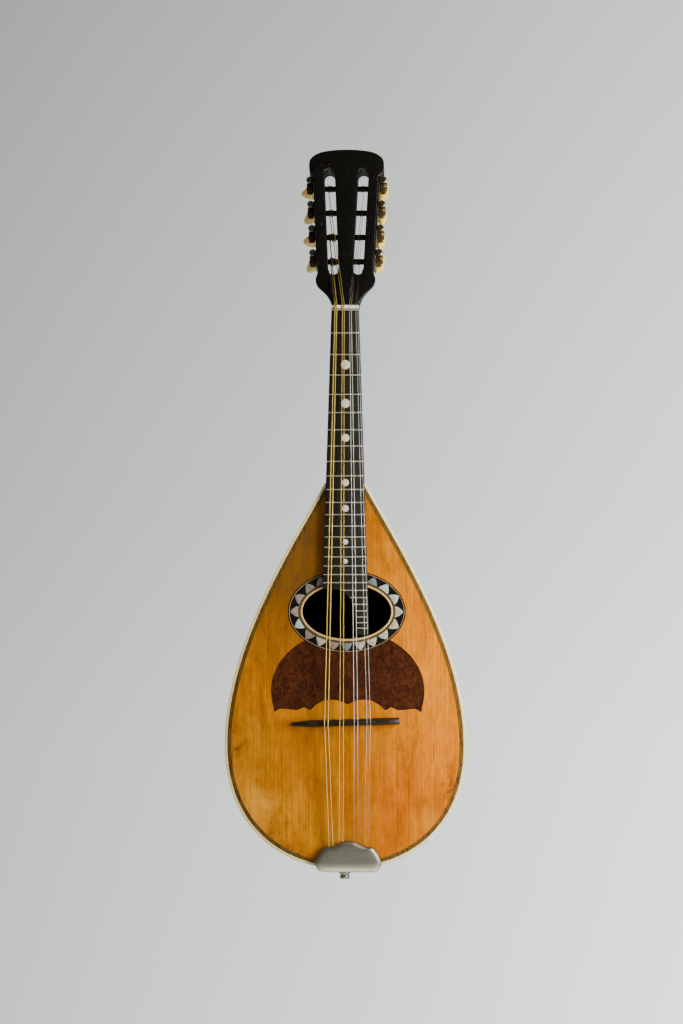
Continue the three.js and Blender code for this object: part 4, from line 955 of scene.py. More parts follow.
MATERIALS = {
    "spruce": spruce(),
    "black": black_lacquer(),
    "band": edge_band(),
    "rib": rib_wood(),
    "burl": burl(),
    "fingerboard": dark_wood("fingerboard_wood", (0.006, 0.006, 0.004), (0.023, 0.022, 0.014), 0.5,
                             (1300, 900, 18)),
    "bridge": dark_wood("bridge_wood", (0.007, 0.005, 0.003), (0.036, 0.024, 0.010), 0.45, (30, 900, 900)),
    "olive": dark_wood("olive_band_wood", (0.045, 0.032, 0.012), (0.12, 0.085, 0.034), 0.42, 400, 0.3),
    "mastic": dark_wood("black_mastic", (0.003, 0.003, 0.0025), (0.011, 0.009, 0.006), 0.34, 200),
    "block": dark_wood("block_wood", (0.30, 0.17, 0.06), (0.46, 0.29, 0.13), 0.7, (300, 300, 12)),
    "line": ivory("pale_line", (0.25, 0.17, 0.08), (0.40, 0.28, 0.14), 0.4, 0.3),
    "ivory": ivory("ivory", (0.96, 0.78, 0.36), (1.0, 0.90, 0.54), 0.4, left_shade_and_yellowing=(0.76, 0.66, 0.38)),
    "ring": ivory("ring_ivory", (0.58, 0.36, 0.09), (0.78, 0.53, 0.19), 0.34),
    # Painted light: the buttons are one ivoroid in two copies, tuned for the shaded left and the lit right.
    "button_left": ivory("ivoroid_button_shaded_copy", (0.98, 0.60, 0.12), (1.0, 0.80, 0.28), 0.3),
    "button_right": ivory("ivoroid_button_lit_copy", (0.92, 0.55, 0.06), (1.0, 0.73, 0.15), 0.3),
    "bone": ivory("bone", (0.98, 0.93, 0.72), (1.0, 0.98, 0.86), 0.4, 0.2),
    "pearl_plain": pearl("pearl", (0.20, 0.25, 0.23), (0.58, 0.63, 0.53)),
    "pearl_dot": pearl("dot_pearl", (0.80, 0.76, 0.58), (0.97, 0.94, 0.76)),
    "pearl_grey": pearl("grey_pearl", (0.04, 0.06, 0.06), (0.20, 0.23, 0.21)),
    "pearl_rose": pearl("rose_pearl", (0.12, 0.09, 0.07), (0.34, 0.26, 0.20)),
    "pearl_pale": pearl("pale_pearl", (0.26, 0.23, 0.17), (0.60, 0.53, 0.38)),
    "nickel": metal("aged_nickel", (0.39, 0.37, 0.30), (0.31, 0.29, 0.235), 0.3, 60, 0.12),
    # The cover's lowest band, along its rolled edge, carries a painted highlight.
    "cover": metal("cover_nickel", (0.305, 0.292, 0.216), (0.237, 0.224, 0.165), 0.4, 60, 0.15, -450.6),
    "fret": metal("fret_wire", (0.88, 0.83, 0.66), (0.74, 0.67, 0.50), 0.36, 120, 0.1),
    "plate": metal("plate_nickel", (0.30, 0.28, 0.23), (0.17, 0.155, 0.13), 0.36, 130, 0.35),
    "worm": metal("worm_bronze", (0.36, 0.29, 0.18), (0.20, 0.155, 0.095), 0.24, 60, 0.15),
    "steel": metal("aged_steel", (0.26, 0.22, 0.17), (0.10, 0.085, 0.065), 0.32, 200, 0.5),
    # Painted shade and light: the left gears get a darker copy of the gear bronze and the right ones a
    # lighter copy.
    "gear_left": metal("gear_bronze_shaded_copy", (0.13, 0.068, 0.042), (0.040, 0.020, 0.015), 0.4, 220, 0.5),
    "gear_right": metal("gear_bronze", (0.24, 0.155, 0.060), (0.090, 0.054, 0.022), 0.4, 220, 0.5),
    "roller": metal("dark_roller", (0.055, 0.036, 0.026), (0.02, 0.014, 0.011), 0.4, 160, 0.4),
    "plain_string": wire("plain_wire", 0.28, lambda nodes: nodes.noise((300, 300, 60), 4, 0.6),
                         ((0.3, (0.60, 0.56, 0.48)), (0.65, (0.84, 0.79, 0.70))), (0.34, 0.30, 0.24), 0.05),
    "wound_string": wire("wound_wire", 0.34, close_winding,
                         ((0.1, (0.36, 0.22, 0.04)), (0.6, (0.74, 0.50, 0.11))), (0.46, 0.50, 0.50), 0.5),
}


# Soundboard, edge, rosette and guard
def make_board():
    outline = [rim_point(*at, BINDING_WIDTH + INLAY_GAP, 0).xz for at in rim_stations()]
    hole = ellipse(HOLE, HOLE_RADII, HOLE_RING + SEAT_GAP / 2)
    board = plate("spruce_top", [outline, hole], 0.0, BOARD_THICKNESS)
    with editing(board.data) as work:
        for rise in CANT_ROWS:
            everything = [*work.verts, *work.edges, *work.faces]
            row = (0, 0, rise - BRIDGE_DROP)
            bmesh.ops.bisect_plane(work, geom=everything, plane_co=row, plane_no=(0, 0, 1))
        for vertex in work.verts:
            vertex.co.y += cant_at(vertex.co.z)
    place(board, "spruce", "spruce", "soundboard")
    band = [(BAND_START, -PROUD), (BAND_START, BAND_DEPTH), (BAND_END, BAND_DEPTH), (BAND_END, -PROUD)]
    place(rim_loft("edge_band", lambda row: band), "band", "rosewood")
    edge = [
        (BINDING_ROUND, -PROUD), (0, BINDING_ROUND - PROUD), (0, BOARD_THICKNESS),
        (BINDING_WIDTH, BOARD_THICKNESS), (BINDING_WIDTH, BINDING_ROUND - PROUD),
        (BINDING_WIDTH - BINDING_ROUND, -PROUD),
    ]
    place(rim_loft("edge_binding", lambda row: edge), "ivory", "ivoroid", "binding")


def make_rosette():
    """Rings round the soundhole: radii and growth of both edges, depths with rounding, and finish."""
    inner, middle, outer = ROSETTE_LINES
    rings = [
        ("soundhole_edge", HOLE_RADII, HOLE_RING, HOLE_RADII, 0,
         (-HOLE_RING_PROUD, BOARD_THICKNESS, HOLE_RING_ROUND, 3), "ring", "ivoroid", "soundhole_ring"),
        ("soundhole_band", HOLE_RADII, ROSETTE_LAND, HOLE_RADII, HOLE_RING + INLAY_GAP,
         (-PROUD, INLAY_DEPTH), "olive", "rosewood"),
        ("rosette_ground", ROSETTE_RADII, inner, HOLE_RADII, ROSETTE_LAND - 0.2,
         (-PROUD, ROSETTE_DEPTH), "mastic", "rosette_mastic", "rosette"),
        ("rosette_line_pale", ROSETTE_RADII, middle, ROSETTE_RADII, inner,
         (-PROUD, LINE_DEPTH), "line", "rosette_mastic"),
        ("rosette_line_edge", ROSETTE_RADII, outer, ROSETTE_RADII, middle,
         (-PROUD, LINE_DEPTH), "mastic", "rosette_mastic"),
    ]
    for name, wide, growth, narrow, inset, depths, *finish in rings:
        place(plate(name, [ellipse(HOLE, wide, growth), ellipse(HOLE, narrow, inset)], *depths), *finish)


def make_triangles():
    """Pearl triangles with rounded points, standing on the inner edge and pointing outward."""
    path = ellipse(HOLE, HOLE_RADII, ROSETTE_LAND + 0.15, TRIANGLE_STEPS)
    lengths = [0.0]
    for a, b in zip(path, path[1:] + path[:1]):
        lengths.append(lengths[-1] + math.dist(a, b))

    def at(share, out):
        length = (share % 1) * lengths[-1]
        index = next(i for i in range(TRIANGLE_STEPS) if lengths[i + 1] >= length)
        a, b = Vector(path[index]), Vector(path[(index + 1) % TRIANGLE_STEPS])
        along = (b - a).normalized()
        return tuple(a + Vector((along.y, -along.x)) * out)

    base = [(-1, 0), (-0.5, 0), (0, 0), (0.5, 0), (1, 0)]
    corner = [*base, *TRIANGLE_SIDE_SHARES, (0, 1), *mirrored(TRIANGLE_SIDE_SHARES)]
    for number in range(TRIANGLE_COUNT):
        middle = number / TRIANGLE_COUNT + random.uniform(-0.0015, 0.0015)
        half = TRIANGLE_SHARE / 2 / TRIANGLE_COUNT * random.uniform(0.93, 1.02)
        reach = TRIANGLE_HEIGHT + random.uniform(-0.25, 0.15)
        outline = [at(middle + side * half, out * reach) for side, out in corner]
        piece = plate(f"pearl_point_{number + 1}", [outline], -2 * PROUD, TRIANGLE_DEPTH, 0.05, 1)
        place(piece, f"pearl_{PEARL_KINDS[number]}", "rosette_mastic")


def guard_outline():
    """An oval's upper part between two tips, closed below by mirrored scallops with sharp cusps."""
    width, height = GUARD_RADII
    tip = math.acos(GUARD_TIP_SHARE)
    arc = [(width * math.cos(t), height * math.sin(t)) for t in sweep(-tip, math.pi + tip, 60)]
    run = [arc[0]] + [(x, z - SCALLOP_BASE) for x, z in scaled(SCALLOP_SHARES, arc[0][0], SCALLOP_HEIGHT)]
    breaks = [0, *SCALLOP_CUSPS, len(run) - 1]
    right = [run[-1]]
    for first, last in reversed(list(zip(breaks, breaks[1:]))):
        right += reversed(spline(run[first:last + 1], 6)[:-1])
    left = mirrored(right[1:-1])
    return [(GUARD_OFFSET + x, z - GUARD_DROP) for x, z in [*arc, *left, *right[:-1]]]


def make_guard():
    guard = plate("guard_plate", [guard_outline()], -PROUD, INLAY_DEPTH)
    boolean(guard, plate("guard_cutter", [ellipse(HOLE, ROSETTE_RADII, GUARD_GAP, 160)], -OVERCUT, OVERCUT))
    place(guard, "burl", "tortoiseshell", "pickguard")


# Bowl
def rib_shell(name, first, last, shares, outer, thickness, edge=0, steps=4):
    """A curved strip of the bowl between two seams; edge is the side on which it reaches the rim."""
    def arc(where, inset):
        points = [bowl_point(where, angle, inset) for angle in sweep(first(where), last(where), steps)]
        if edge:
            points.insert(0 if edge > 0 else len(points),
                          rim_point(where, edge, inset, BOARD_THICKNESS + RIB_EDGE_GAP))
        return points

    stations = [station(share) for share in shares]
    return loft(name, [arc(where, outer) + arc(where, outer + thickness)[::-1] for where in stations])


def make_bowl():
    shares = shares_between(0.0, 1 + RIB_END_SHARE, 30)
    count = RIB_NODES * RIBS_PER_NODE
    half_line = RIB_LINE_WIDTH / 2
    under_line = half_line * RIB_LINE_OVERLAP_SHARE

    def seam(number, offset):
        return lambda where: math.pi * number / count + offset / (DOME_DEPTH_SHARE * max(where[0], 1.0))

    for node in range(RIB_NODES):
        parts = []
        for number in range(node * RIBS_PER_NODE, (node + 1) * RIBS_PER_NODE):
            first = seam(number, under_line if number else 0)
            last = seam(number + 1, -under_line if number + 1 < count else 0)
            edge = {0: 1, count - 1: -1}.get(number, 0)
            parts.append(paint(rib_shell("rib", first, last, shares, RIB_INSET, RIB_THICKNESS, edge), "rib"))
            if number + 1 < count:
                sides = (seam(number + 1, -half_line), seam(number + 1, half_line))
                line = rib_shell("line", *sides, shares, RIB_INSET + RIB_LINE_INSET, RIB_LINE_THICKNESS, 0, 1)
                parts.append(paint(line, "line"))
        place(join(f"bowl_ribs_{node + 1}", parts), None, "rosewood", f"rib_{node + 1}", angle=24)


def make_clasp():
    outer = RIB_INSET - SEAT_GAP - CLASP
    inner = RIB_INSET - CLASP_INSET
    front = BOARD_THICKNESS + SEAT_GAP

    def corners(row):
        depth = blend(*CLASP_DEPTHS, smooth(row / CLASP_TAPER_ROWS))
        return [
            (outer + 0.2, front), (outer, front + 0.3), (outer, depth - 0.4, False),
            (outer + 0.3, depth, False), (inner, depth, False), (inner, front),
        ]

    place(rim_loft("tail_clasp", corners, CLASP_START), "rib", "rosewood", "end_clasp")


def make_inside():
    for name in ("neck_block", "tail_block", "brace_upper", "brace_lower"):
        paint(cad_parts[name], "block")


# Neck and head
def half_width_at(z):
    return NUT_HALF_WIDTH + (BOARD_END_HALF_WIDTH - NUT_HALF_WIDTH) * -z / BOARD_END_DROP


def heel_at(along):
    for (a, low), (b, high) in zip(HEEL_SHARES, HEEL_SHARES[1:]):
        if along <= b:
            return blend(low, high, (along - a) / (b - a))
    return 1.0


def make_neck_shaft():
    length = SHOULDER_DROP - SEAT_GAP + NECK_TOP
    heel_depth = SHOULDER_WALL + DOME_DEPTH_SHARE * SHOULDER_HALF_WIDTH
    rings = []
    for row in range(NECK_ROWS + 1):
        along = 1 - (1 - row / NECK_ROWS) ** 1.3
        near = [heel_at(limit(along + part * HEEL_WINDOW_SHARE)) for part in (-1, -0.5, 0, 0.5, 1)]
        heel = heel_at(along) if along > 1 - HEEL_WINDOW_SHARE else sum(near) / len(near)
        z = NECK_TOP - along * length
        depth = blend(NECK_DEPTH, heel_depth, heel)
        width = half_width_at(z)
        wall = depth * NECK_WALL_SHARE
        back = [(width * math.cos(t), wall + (depth - wall) * math.sin(t), z) for t in sweep(0, math.pi, 20)]
        rings.append([(width, 0, z), *back, (-width, 0, z)])
    return loft("neck_shaft", rings)


def head_outline(start):
    root = [*scaled(HEAD_ROOT_SHARES, HEAD_HALF_WIDTH, HEAD_LENGTH), HEAD_LOW]
    crown = scaled(HEAD_CROWN_SHARES, HEAD_HALF_WIDTH, HEAD_LENGTH)
    right = [point for point in [*spline(root, 8), HEAD_HIGH, *spline(crown, 8)] if point[1] >= start]
    return [*right, *mirrored(right[:-1])]


def slot_offset(up):
    return blend(SLOT_LOW_OFFSET, SLOT_HIGH_OFFSET, (up - SLOT_LOW) / (SLOT_HIGH - SLOT_LOW))


def slot_outline(side):
    points = []
    for centre, start in ((SLOT_HIGH - SLOT_HALF_WIDTH, 0), (SLOT_LOW + SLOT_HALF_WIDTH, math.pi)):
        x = side * slot_offset(centre)
        for t in sweep(start, start + math.pi, 14):
            points.append((x + SLOT_HALF_WIDTH * math.cos(t), centre + SLOT_HALF_WIDTH * math.sin(t)))
    return points


def ramp_cutter(side):
    """Channel that leads the strings down into a slot, with a round bottom."""
    end = SLOT_LOW + SLOT_HALF_WIDTH
    rings = []
    for up, offset, depth in (RAMP_START, (end, slot_offset(end), RAMP_END_DEPTH)):
        x = side * offset
        bottom = [(x + RAMP_HALF_WIDTH * math.cos(t), depth - 1 + math.sin(t), up)
                  for t in sweep(0, math.pi, 8)]
        rings.append([(x + RAMP_HALF_WIDTH, -OVERCUT, up), *bottom, (x - RAMP_HALF_WIDTH, -OVERCUT, up)])
    return loft("ramp_cutter", rings)


def head_plate(name, start, front, back, bevel, steps):
    """A layer of the head with its two slots and the channels that lead to them."""
    layer = plate(name, [head_outline(start), slot_outline(1), slot_outline(-1)], front, back, bevel, steps)
    for side in (1, -1):
        boolean(layer, ramp_cutter(side))
    return layer


def head_side(up):
    return blend(HEAD_LOW[0], HEAD_HIGH[0], (up - HEAD_LOW[1]) / (HEAD_HIGH[1] - HEAD_LOW[1]))


class Machine:
    """Places of one tuning machine in the head's frame, with number 0 next to the nut."""

    def __init__(self, side, number):
        self.side = side
        self.side_name = "right" if side > 0 else "left"
        self.tag = f"{self.side_name}_{number + 1}"
        self.rest_turn = BUTTON_REST_TURNS[self.side_name][number]
        self.up = blend(MACHINE_LOW, MACHINE_HIGH, number / (MACHINE_COUNT - 1))
        self.slot = slot_offset(self.up)
        self.inner = self.slot - SLOT_HALF_WIDTH - ROLLER_SEAT
        self.plate = head_side(self.up) + SEAT_GAP + PLATE_THICKNESS
        self.gear = self.plate + GEAR_STAND_OFF
        self.worm = self.gear + GEAR_WIDTH / 2
        self.worm_up = self.up + GEAR_TIP + WORM_TIP - ENGAGEMENT
        self.worm_matrix = HEAD_MATRIX @ shift(side * self.worm, MACHINE_DEPTH, self.worm_up)


MACHINES = [Machine(side, number) for side in (-1, 1) for number in range(MACHINE_COUNT)]


def taper_ears(core):
    """Draws the two ears beside the nut in towards the neck as they go back."""
    for vertex in core.data.vertices:
        x, depth, up = vertex.co
        back = smooth((depth - EAR_TAPER_START) / (HEAD_THICKNESS - EAR_TAPER_START))
        low = smooth((HEAD_LOW[1] - up) / EAR_TAPER_HEIGHT)
        if abs(x) > EAR_CORE:
            kept = blend(1.0, EAR_TAPER_SHARE, back * low)
            vertex.co.x = math.copysign(EAR_CORE + (abs(x) - EAR_CORE) * kept, x)


def make_neck_and_head():
    core = head_plate("head_core", HEAD_START, VENEER + VENEER_GAP, HEAD_THICKNESS, HEAD_ROUND, 3)
    bores = []
    for machine in MACHINES:
        ends = sorted((machine.side * machine.inner, machine.side * (HEAD_HALF_WIDTH + OVERCUT)))
        bores.append(rod("bore", "X", ROLLER_RADIUS + RUNNING_GAP, ends, (MACHINE_DEPTH, machine.up), 24))
    boolean(core, join("bores", bores))
    taper_ears(core)
    neck = boolean(make_neck_shaft(), transform(core, HEAD_MATRIX), "UNION")
    neck.name = "neck_and_head"
    place(neck, "black", "black_wood", "neck")
    veneer = head_plate("head_front", NECK_TOP / math.cos(HEAD_TILT) + SEAT_GAP, 0.0, VENEER, VENEER_ROUND, 2)
    place(transform(veneer, HEAD_MATRIX), "black", "black_wood", "head_veneer")


# Fingerboard, frets, dots and nut
def tongue_edge():
    """Left edge of the fingerboard below its full width, down to the round tip of the tongue."""
    shares = scaled(TONGUE_SHARES, BOARD_END_HALF_WIDTH + TONGUE_SIDES[0], TONGUE_DROP - BOARD_END_DROP)
    points = [(x - BOARD_END_HALF_WIDTH, -BOARD_END_DROP - drop) for x, drop in shares]
    return spline([*points, (TONGUE_SIDES[0], -TONGUE_DROP + TONGUE_ROUND * 2)], 6)


def fingerboard_outline():
    top = FINGERBOARD_LIP
    middle = sum(TONGUE_SIDES) / 2
    half = (TONGUE_SIDES[1] - TONGUE_SIDES[0]) / 2
    tip = [(middle + half * math.cos(t), -TONGUE_DROP + TONGUE_ROUND * (1 + math.sin(t)))
           for t in sweep(math.pi, 2 * math.pi, 16)]
    return [
        (-half_width_at(top), top), (-BOARD_END_HALF_WIDTH, -BOARD_END_DROP), *tongue_edge(), *tip,
        (BOARD_END_HALF_WIDTH, -BOARD_END_DROP), (half_width_at(top), top),
    ]


def left_edge_at(drop):
    if drop <= BOARD_END_DROP:
        return -half_width_at(-drop)
    edge = tongue_edge()
    for (xa, za), (xb, zb) in zip(edge, edge[1:]):
        if za >= -drop >= zb and za > zb:
            return blend(xa, xb, (za + drop) / (za - zb))
    return TONGUE_SIDES[0]


def make_fret(number):
    """Fret wire: a round crown with sloped ends."""
    drop = fret_drop(number)
    half = FRET_WIDTH / 2
    left = left_edge_at(drop + half) + FRET_INSET
    right = min(half_width_at(-drop), BOARD_END_HALF_WIDTH) - FRET_INSET
    slope, low = FRET_SLOPE
    foot = FRET_SEAT - FINGERBOARD_THICKNESS
    rings = []
    for x, inset in ((left, low), (left + slope, 0.0), (right - slope, 0.0), (right, low)):
        height = FRET_HEIGHT - inset
        crown = [(x, -FINGERBOARD_THICKNESS - height * math.sin(t) ** 0.7, half * math.cos(t) - drop)
                 for t in sweep(0, math.pi, 8)]
        rings.append([(x, foot, half - drop), *crown, (x, foot, -half - drop)])
    place(loft(f"fret_{number}", rings), "fret", "aged_steel")


def spread_at(spread, share, member):
    width, offset, spacing = spread
    return offset + share * width + member * spacing


def make_fingerboard():
    front = -FINGERBOARD_THICKNESS
    board = plate("fingerboard_plate", [fingerboard_outline()], front, 0.0, FINGERBOARD_ROUND)
    place(board, "fingerboard", "fingerboard_wood", "fingerboard")
    for number in range(FRET_COUNT + 1):
        make_fret(number)
    for number, radius in DOT_RADII.items():
        middle = -(fret_drop(number) + fret_drop(number - 1)) / 2
        dot = plate(f"position_dot_{number}", [ellipse((DOT_OFFSET, middle), (radius, radius), 0, 40)],
                    front - PROUD, front + DOT_DEPTH, 0.05, 1)
        place(dot, "pearl_dot", "rosette_mastic")


def make_nut():
    front = -FINGERBOARD_THICKNESS - FRET_HEIGHT
    low, high = (-NUT_HALF_WIDTH, front, NUT_LOW), (NUT_HALF_WIDTH, 0, NUT_HIGH)
    nut = box_piece("nut_block", low, high, NUT_ROUND, 3)
    ends = (NUT_LOW - NOTCH_OVERCUT, NUT_HIGH + NOTCH_OVERCUT)
    notches = []
    for course, share in COURSE_SHARES.items():
        for member in (-0.5, 0.5):
            centre = (spread_at(NUT_SPREAD, share, member), front - SEAT_GAP / 2)
            notches.append(rod("notch", "Z", STRING_RADII[course] + NOTCH_GAP, ends, centre, 12))
    place(boolean(nut, join("notches", notches)), "bone", "bone", "nut")


# Tuning machines
def mirror_if_left(piece, machine):
    return transform(piece, Matrix.Scale(-1, 4, (1, 0, 0))) if machine.side < 0 else piece


def make_screw(profile, sides, reach, slot_angle):
    """Slotted screw head, its face up; the slot runs past its rim on both sides."""
    screw = lathe("screw", profile, sides)
    height = profile[-1][1]
    half, depth = DRIVER_SLOT
    slot = box_piece("driver_slot", (-reach, -half, height - depth), (reach, half, height + 1))
    return boolean(screw, transform(slot, turn(slot_angle, "Z")))


def make_gear(machine):
    flank = math.pi / GEAR_TEETH
    tip = TOOTH_TIP_WIDTH / 2 / GEAR_TIP
    tooth = [
        (GEAR_ROOT, -flank), (GEAR_ROOT + 0.05, -flank * 0.7), (GEAR_TIP - 0.1, -tip * 1.6), (GEAR_TIP, -tip),
        (GEAR_TIP, tip), (GEAR_TIP - 0.1, tip * 1.6), (GEAR_ROOT + 0.05, flank * 0.7),
    ]
    ring = []
    for middle in circle(GEAR_TEETH):
        for radius, offset in tooth:
            t = middle + math.pi / 2 + offset
            ring.append((radius * math.cos(t), radius * math.sin(t)))
    edge = GEAR_EDGE_SHARE
    sections = ((0, edge), (GEAR_EDGE, 1), (GEAR_WIDTH - GEAR_EDGE, 1), (GEAR_WIDTH, edge))
    rings = [[(machine.gear + x, y * scale, z * scale) for y, z in ring] for x, scale in sections]
    return loft("gear", rings)


def make_roller(machine):
    shaft = paint(rod("shaft", "X", ROLLER_RADIUS, (machine.inner, machine.gear + 1), (0, 0), 32), "roller")
    gear = paint(make_gear(machine), f"gear_{machine.side_name}")
    screw = transform(make_screw(SCREW_PROFILE, 28, 2.16, 0.5),
                      shift(machine.gear + GEAR_WIDTH, 0, 0) @ turn(math.pi / 2, "Y"))
    roller = mirror_if_left(join(f"winder_{machine.tag}", [shaft, gear, paint(screw, "steel")]), machine)
    transform(roller, HEAD_MATRIX @ shift(0, MACHINE_DEPTH, machine.up))
    place(roller, None, "aged_brass", f"roller_{machine.tag}", body=f"winder_{machine.tag}")


def make_thread():
    pitch = 2 * math.pi * (GEAR_TIP - ENGAGEMENT / 2) / GEAR_TEETH
    steps = THREAD_TURNS * THREAD_STEPS
    foot, crest = THREAD_HALF_WIDTHS
    root = WORM_ROOT - THREAD_SINK
    rings = []
    for i, t in enumerate(sweep(-math.pi * THREAD_TURNS, math.pi * THREAD_TURNS, steps)):
        along = pitch * t / (2 * math.pi)
        tip = blend(WORM_ROOT, WORM_TIP, min(1.0, i / THREAD_FADE, (steps - i) / THREAD_FADE))
        section = ((root, -foot), (tip, -crest), (tip, crest), (root, foot))
        rings.append([(radius * math.sin(t), along + offset, radius * math.cos(t))
                      for radius, offset in section])
    return loft("thread", rings)


def make_worm(machine):
    front = -EAR_INSET - EAR_THICKNESS - COLLAR_GAP
    rear = EAR_INSET + EAR_THICKNESS + SEAT_GAP
    ends = (front - COLLAR_THICKNESS + SHAFT_INSET, BUTTON_SETBACK + BUTTON_LENGTH * SHAFT_SEAT_SHARE)
    shaft = rod("worm_shaft", "Y", WORM_ROOT, ends, (0, 0))
    head = lathe("worm_head", scaled(COLLAR_SHARES, COLLAR_RADIUS, COLLAR_THICKNESS), 36)
    transform(head, shift(0, front, 0) @ turn(math.pi / 2, "X"))
    collar = rod("rear_collar", "Y", REAR_COLLAR_RADIUS, (rear, rear + REAR_COLLAR_LENGTH), (0, 0), 36)
    round_edges(collar, REAR_COLLAR_ROUND, 3)
    worm = join(f"worm_shaft_{machine.tag}", [make_thread(), shaft, head, collar])
    transform(worm, machine.worm_matrix)
    place(worm, "worm", "aged_steel", f"worm_{machine.tag}", body=f"knob_{machine.tag}")


def make_button(machine):
    def flatten(radius):
        return blend(1, BUTTON_FLAT_SHARE, limit((radius - BOSS_RADIUS) / (BUTTON_HALF_WIDTH - BOSS_RADIUS)))

    shares = scaled(BUTTON_SHARES, BUTTON_HALF_WIDTH, BUTTON_LENGTH)
    outline = [(max(0.0, radius), along) for radius, along in spline(shares, 3)]
    button = lathe(f"button_grip_{machine.tag}", [(0, 0), *outline], 40, flatten)
    upright = turn(machine.rest_turn * 2 * math.pi, "Y") @ turn(-math.pi / 2, "X")
    transform(button, machine.worm_matrix @ shift(0, BUTTON_SETBACK, 0) @ upright)
    place(button, f"button_{machine.side_name}", "ivoroid", f"button_{machine.tag}",
          body=f"knob_{machine.tag}", angle=60)


def make_ear(machine, end):
    """Ear that carries the worm shaft, its outer end rounded; the top one is cut off by the head's crown."""
    near = MACHINE_DEPTH + end * EAR_INSET
    faces = sorted((near, near + end * EAR_THICKNESS))
    low = machine.worm_up - EAR_HALF_HEIGHT
    high = min(machine.worm_up + EAR_HALF_HEIGHT, HEAD_HIGH[1])
    base = machine.plate - PLATE_THICKNESS / 2
    reach = machine.worm + EAR_REACH - EAR_CORNER
    tip = [(reach + EAR_CORNER * math.cos(t), (low + high) / 2 + (high - low) / 2 * math.sin(t))
           for t in sweep(-math.pi / 2, math.pi / 2, 8)]
    return plate("ear", [[(base, low), *tip, (base, high)]], *faces, EAR_ROUND, 1)


def make_tuner_plate(side):
    own = [machine for machine in MACHINES if machine.side == side]
    outline = []
    for up in (HEAD_LOW[1] + PLATE_MARGIN, HEAD_HIGH[1] - PLATE_MARGIN):
        inner = head_side(up) + SEAT_GAP
        edge = [(inner, up), (inner + PLATE_THICKNESS, up)]
        outline += reversed(edge) if outline else edge
    strip = plate("strip", [outline], MACHINE_DEPTH - PLATE_DEPTH / 2, MACHINE_DEPTH + PLATE_DEPTH / 2)
    parts = [round_edges(strip, PLATE_ROUND)]
    parts += [make_ear(machine, end) for machine in own for end in (-1, 1)]
    screws = [(own[0].up - PLATE_SCREW_BELOW, depth) for depth in (-PLATE_SCREW_SPREAD, PLATE_SCREW_SPREAD)]
    screws += [((a.up + b.up) / 2 + PLATE_SCREW_ABOVE, 0) for a, b in zip(own, own[1:])]
    for up, depth in screws:
        where = shift(head_side(up) + SEAT_GAP + PLATE_THICKNESS, MACHINE_DEPTH + depth, up)
        screw = make_screw(PLATE_SCREW_PROFILE, 24, 1.68, 0.9)
        parts.append(transform(screw, where @ turn(math.pi / 2, "Y")))
    name = own[0].side_name
    made = transform(mirror_if_left(join(f"machine_plate_{name}", parts), own[0]), HEAD_MATRIX)
    place(made, "plate", "nickel", f"tuner_plate_{name}")


def make_tuners():
    for side in (-1, 1):
        make_tuner_plate(side)
    for machine in MACHINES:
        make_roller(machine)
        make_worm(machine)
        make_button(machine)


# Bridge, strings and tail
BRIDGE_MATRIX = shift(0, 0, -BRIDGE_DROP) @ turn(-BRIDGE_TILT, "Y")
CANT_MATRIX = shift(0, 0, -BRIDGE_DROP) @ turn(CANT, "X")


def make_bridge():
    """Bridge of black wood, tapered to its left end, cut square at its right, with a narrow crest."""
    half = BRIDGE_LENGTH / 2
    rings = []
    for x in sweep(-half, half, BRIDGE_ROWS):
        left = smooth((x + half) / BRIDGE_TAPER)
        right = min(1.0, (half - x) / BRIDGE_SQUARE) ** 0.6
        height = min(blend(BRIDGE_TIP / 2, BRIDGE_BLOCK, left), blend(BRIDGE_TIP, BRIDGE_BLOCK, right))
        wide = BRIDGE_HALF_WIDTH * blend(0.55, 1.0, left)
        top = wide * 0.62
        front = [(wide, -SEAT_GAP), (wide, -height * 0.45), (top, BRIDGE_EDGE - height),
                 (top - BRIDGE_EDGE, -height)]
        section = [*((-z, y) for z, y in front), *reversed(front)]
        rings.append([(x + BRIDGE_OFFSET, y, z) for z, y in section])
    width, offset, spacing = BRIDGE_SPREAD
    reach = (width + spacing) / 2 + SADDLE_OVERHANG
    saddle = box_piece("saddle", (offset - reach, -BRIDGE_HEIGHT, -SADDLE_HALF_WIDTH),
                       (offset + reach, -BRIDGE_TIP, SADDLE_HALF_WIDTH), SADDLE_ROUND, 3)
    bridge = transform(join("bridge_body", [loft("bridge_base", rings), saddle]), BRIDGE_MATRIX)
    place(bridge, "bridge", "black_wood", "bridge", body="bridge")


def winding(start, machine, radius):
    """Loops round a roller, from where a string coming from start first touches it."""
    reach = ROLLER_RADIUS + SEAT_GAP + radius
    away = Vector((start.z - machine.up, start.y - MACHINE_DEPTH))
    touch = math.atan2(away.y, away.x) + math.acos(reach / away.length)
    half = (2 * radius + WINDING_SPACE) * WINDING_LOOPS / 2
    steps = WINDING_LOOPS * WINDING_STEPS
    across = sweep(half, -half, steps)
    turns = sweep(touch, touch + 2 * math.pi * WINDING_LOOPS, steps)
    return [Vector((machine.side * (machine.slot + x), MACHINE_DEPTH + reach * math.sin(t),
                    machine.up + reach * math.cos(t))) for x, t in zip(across, turns)]


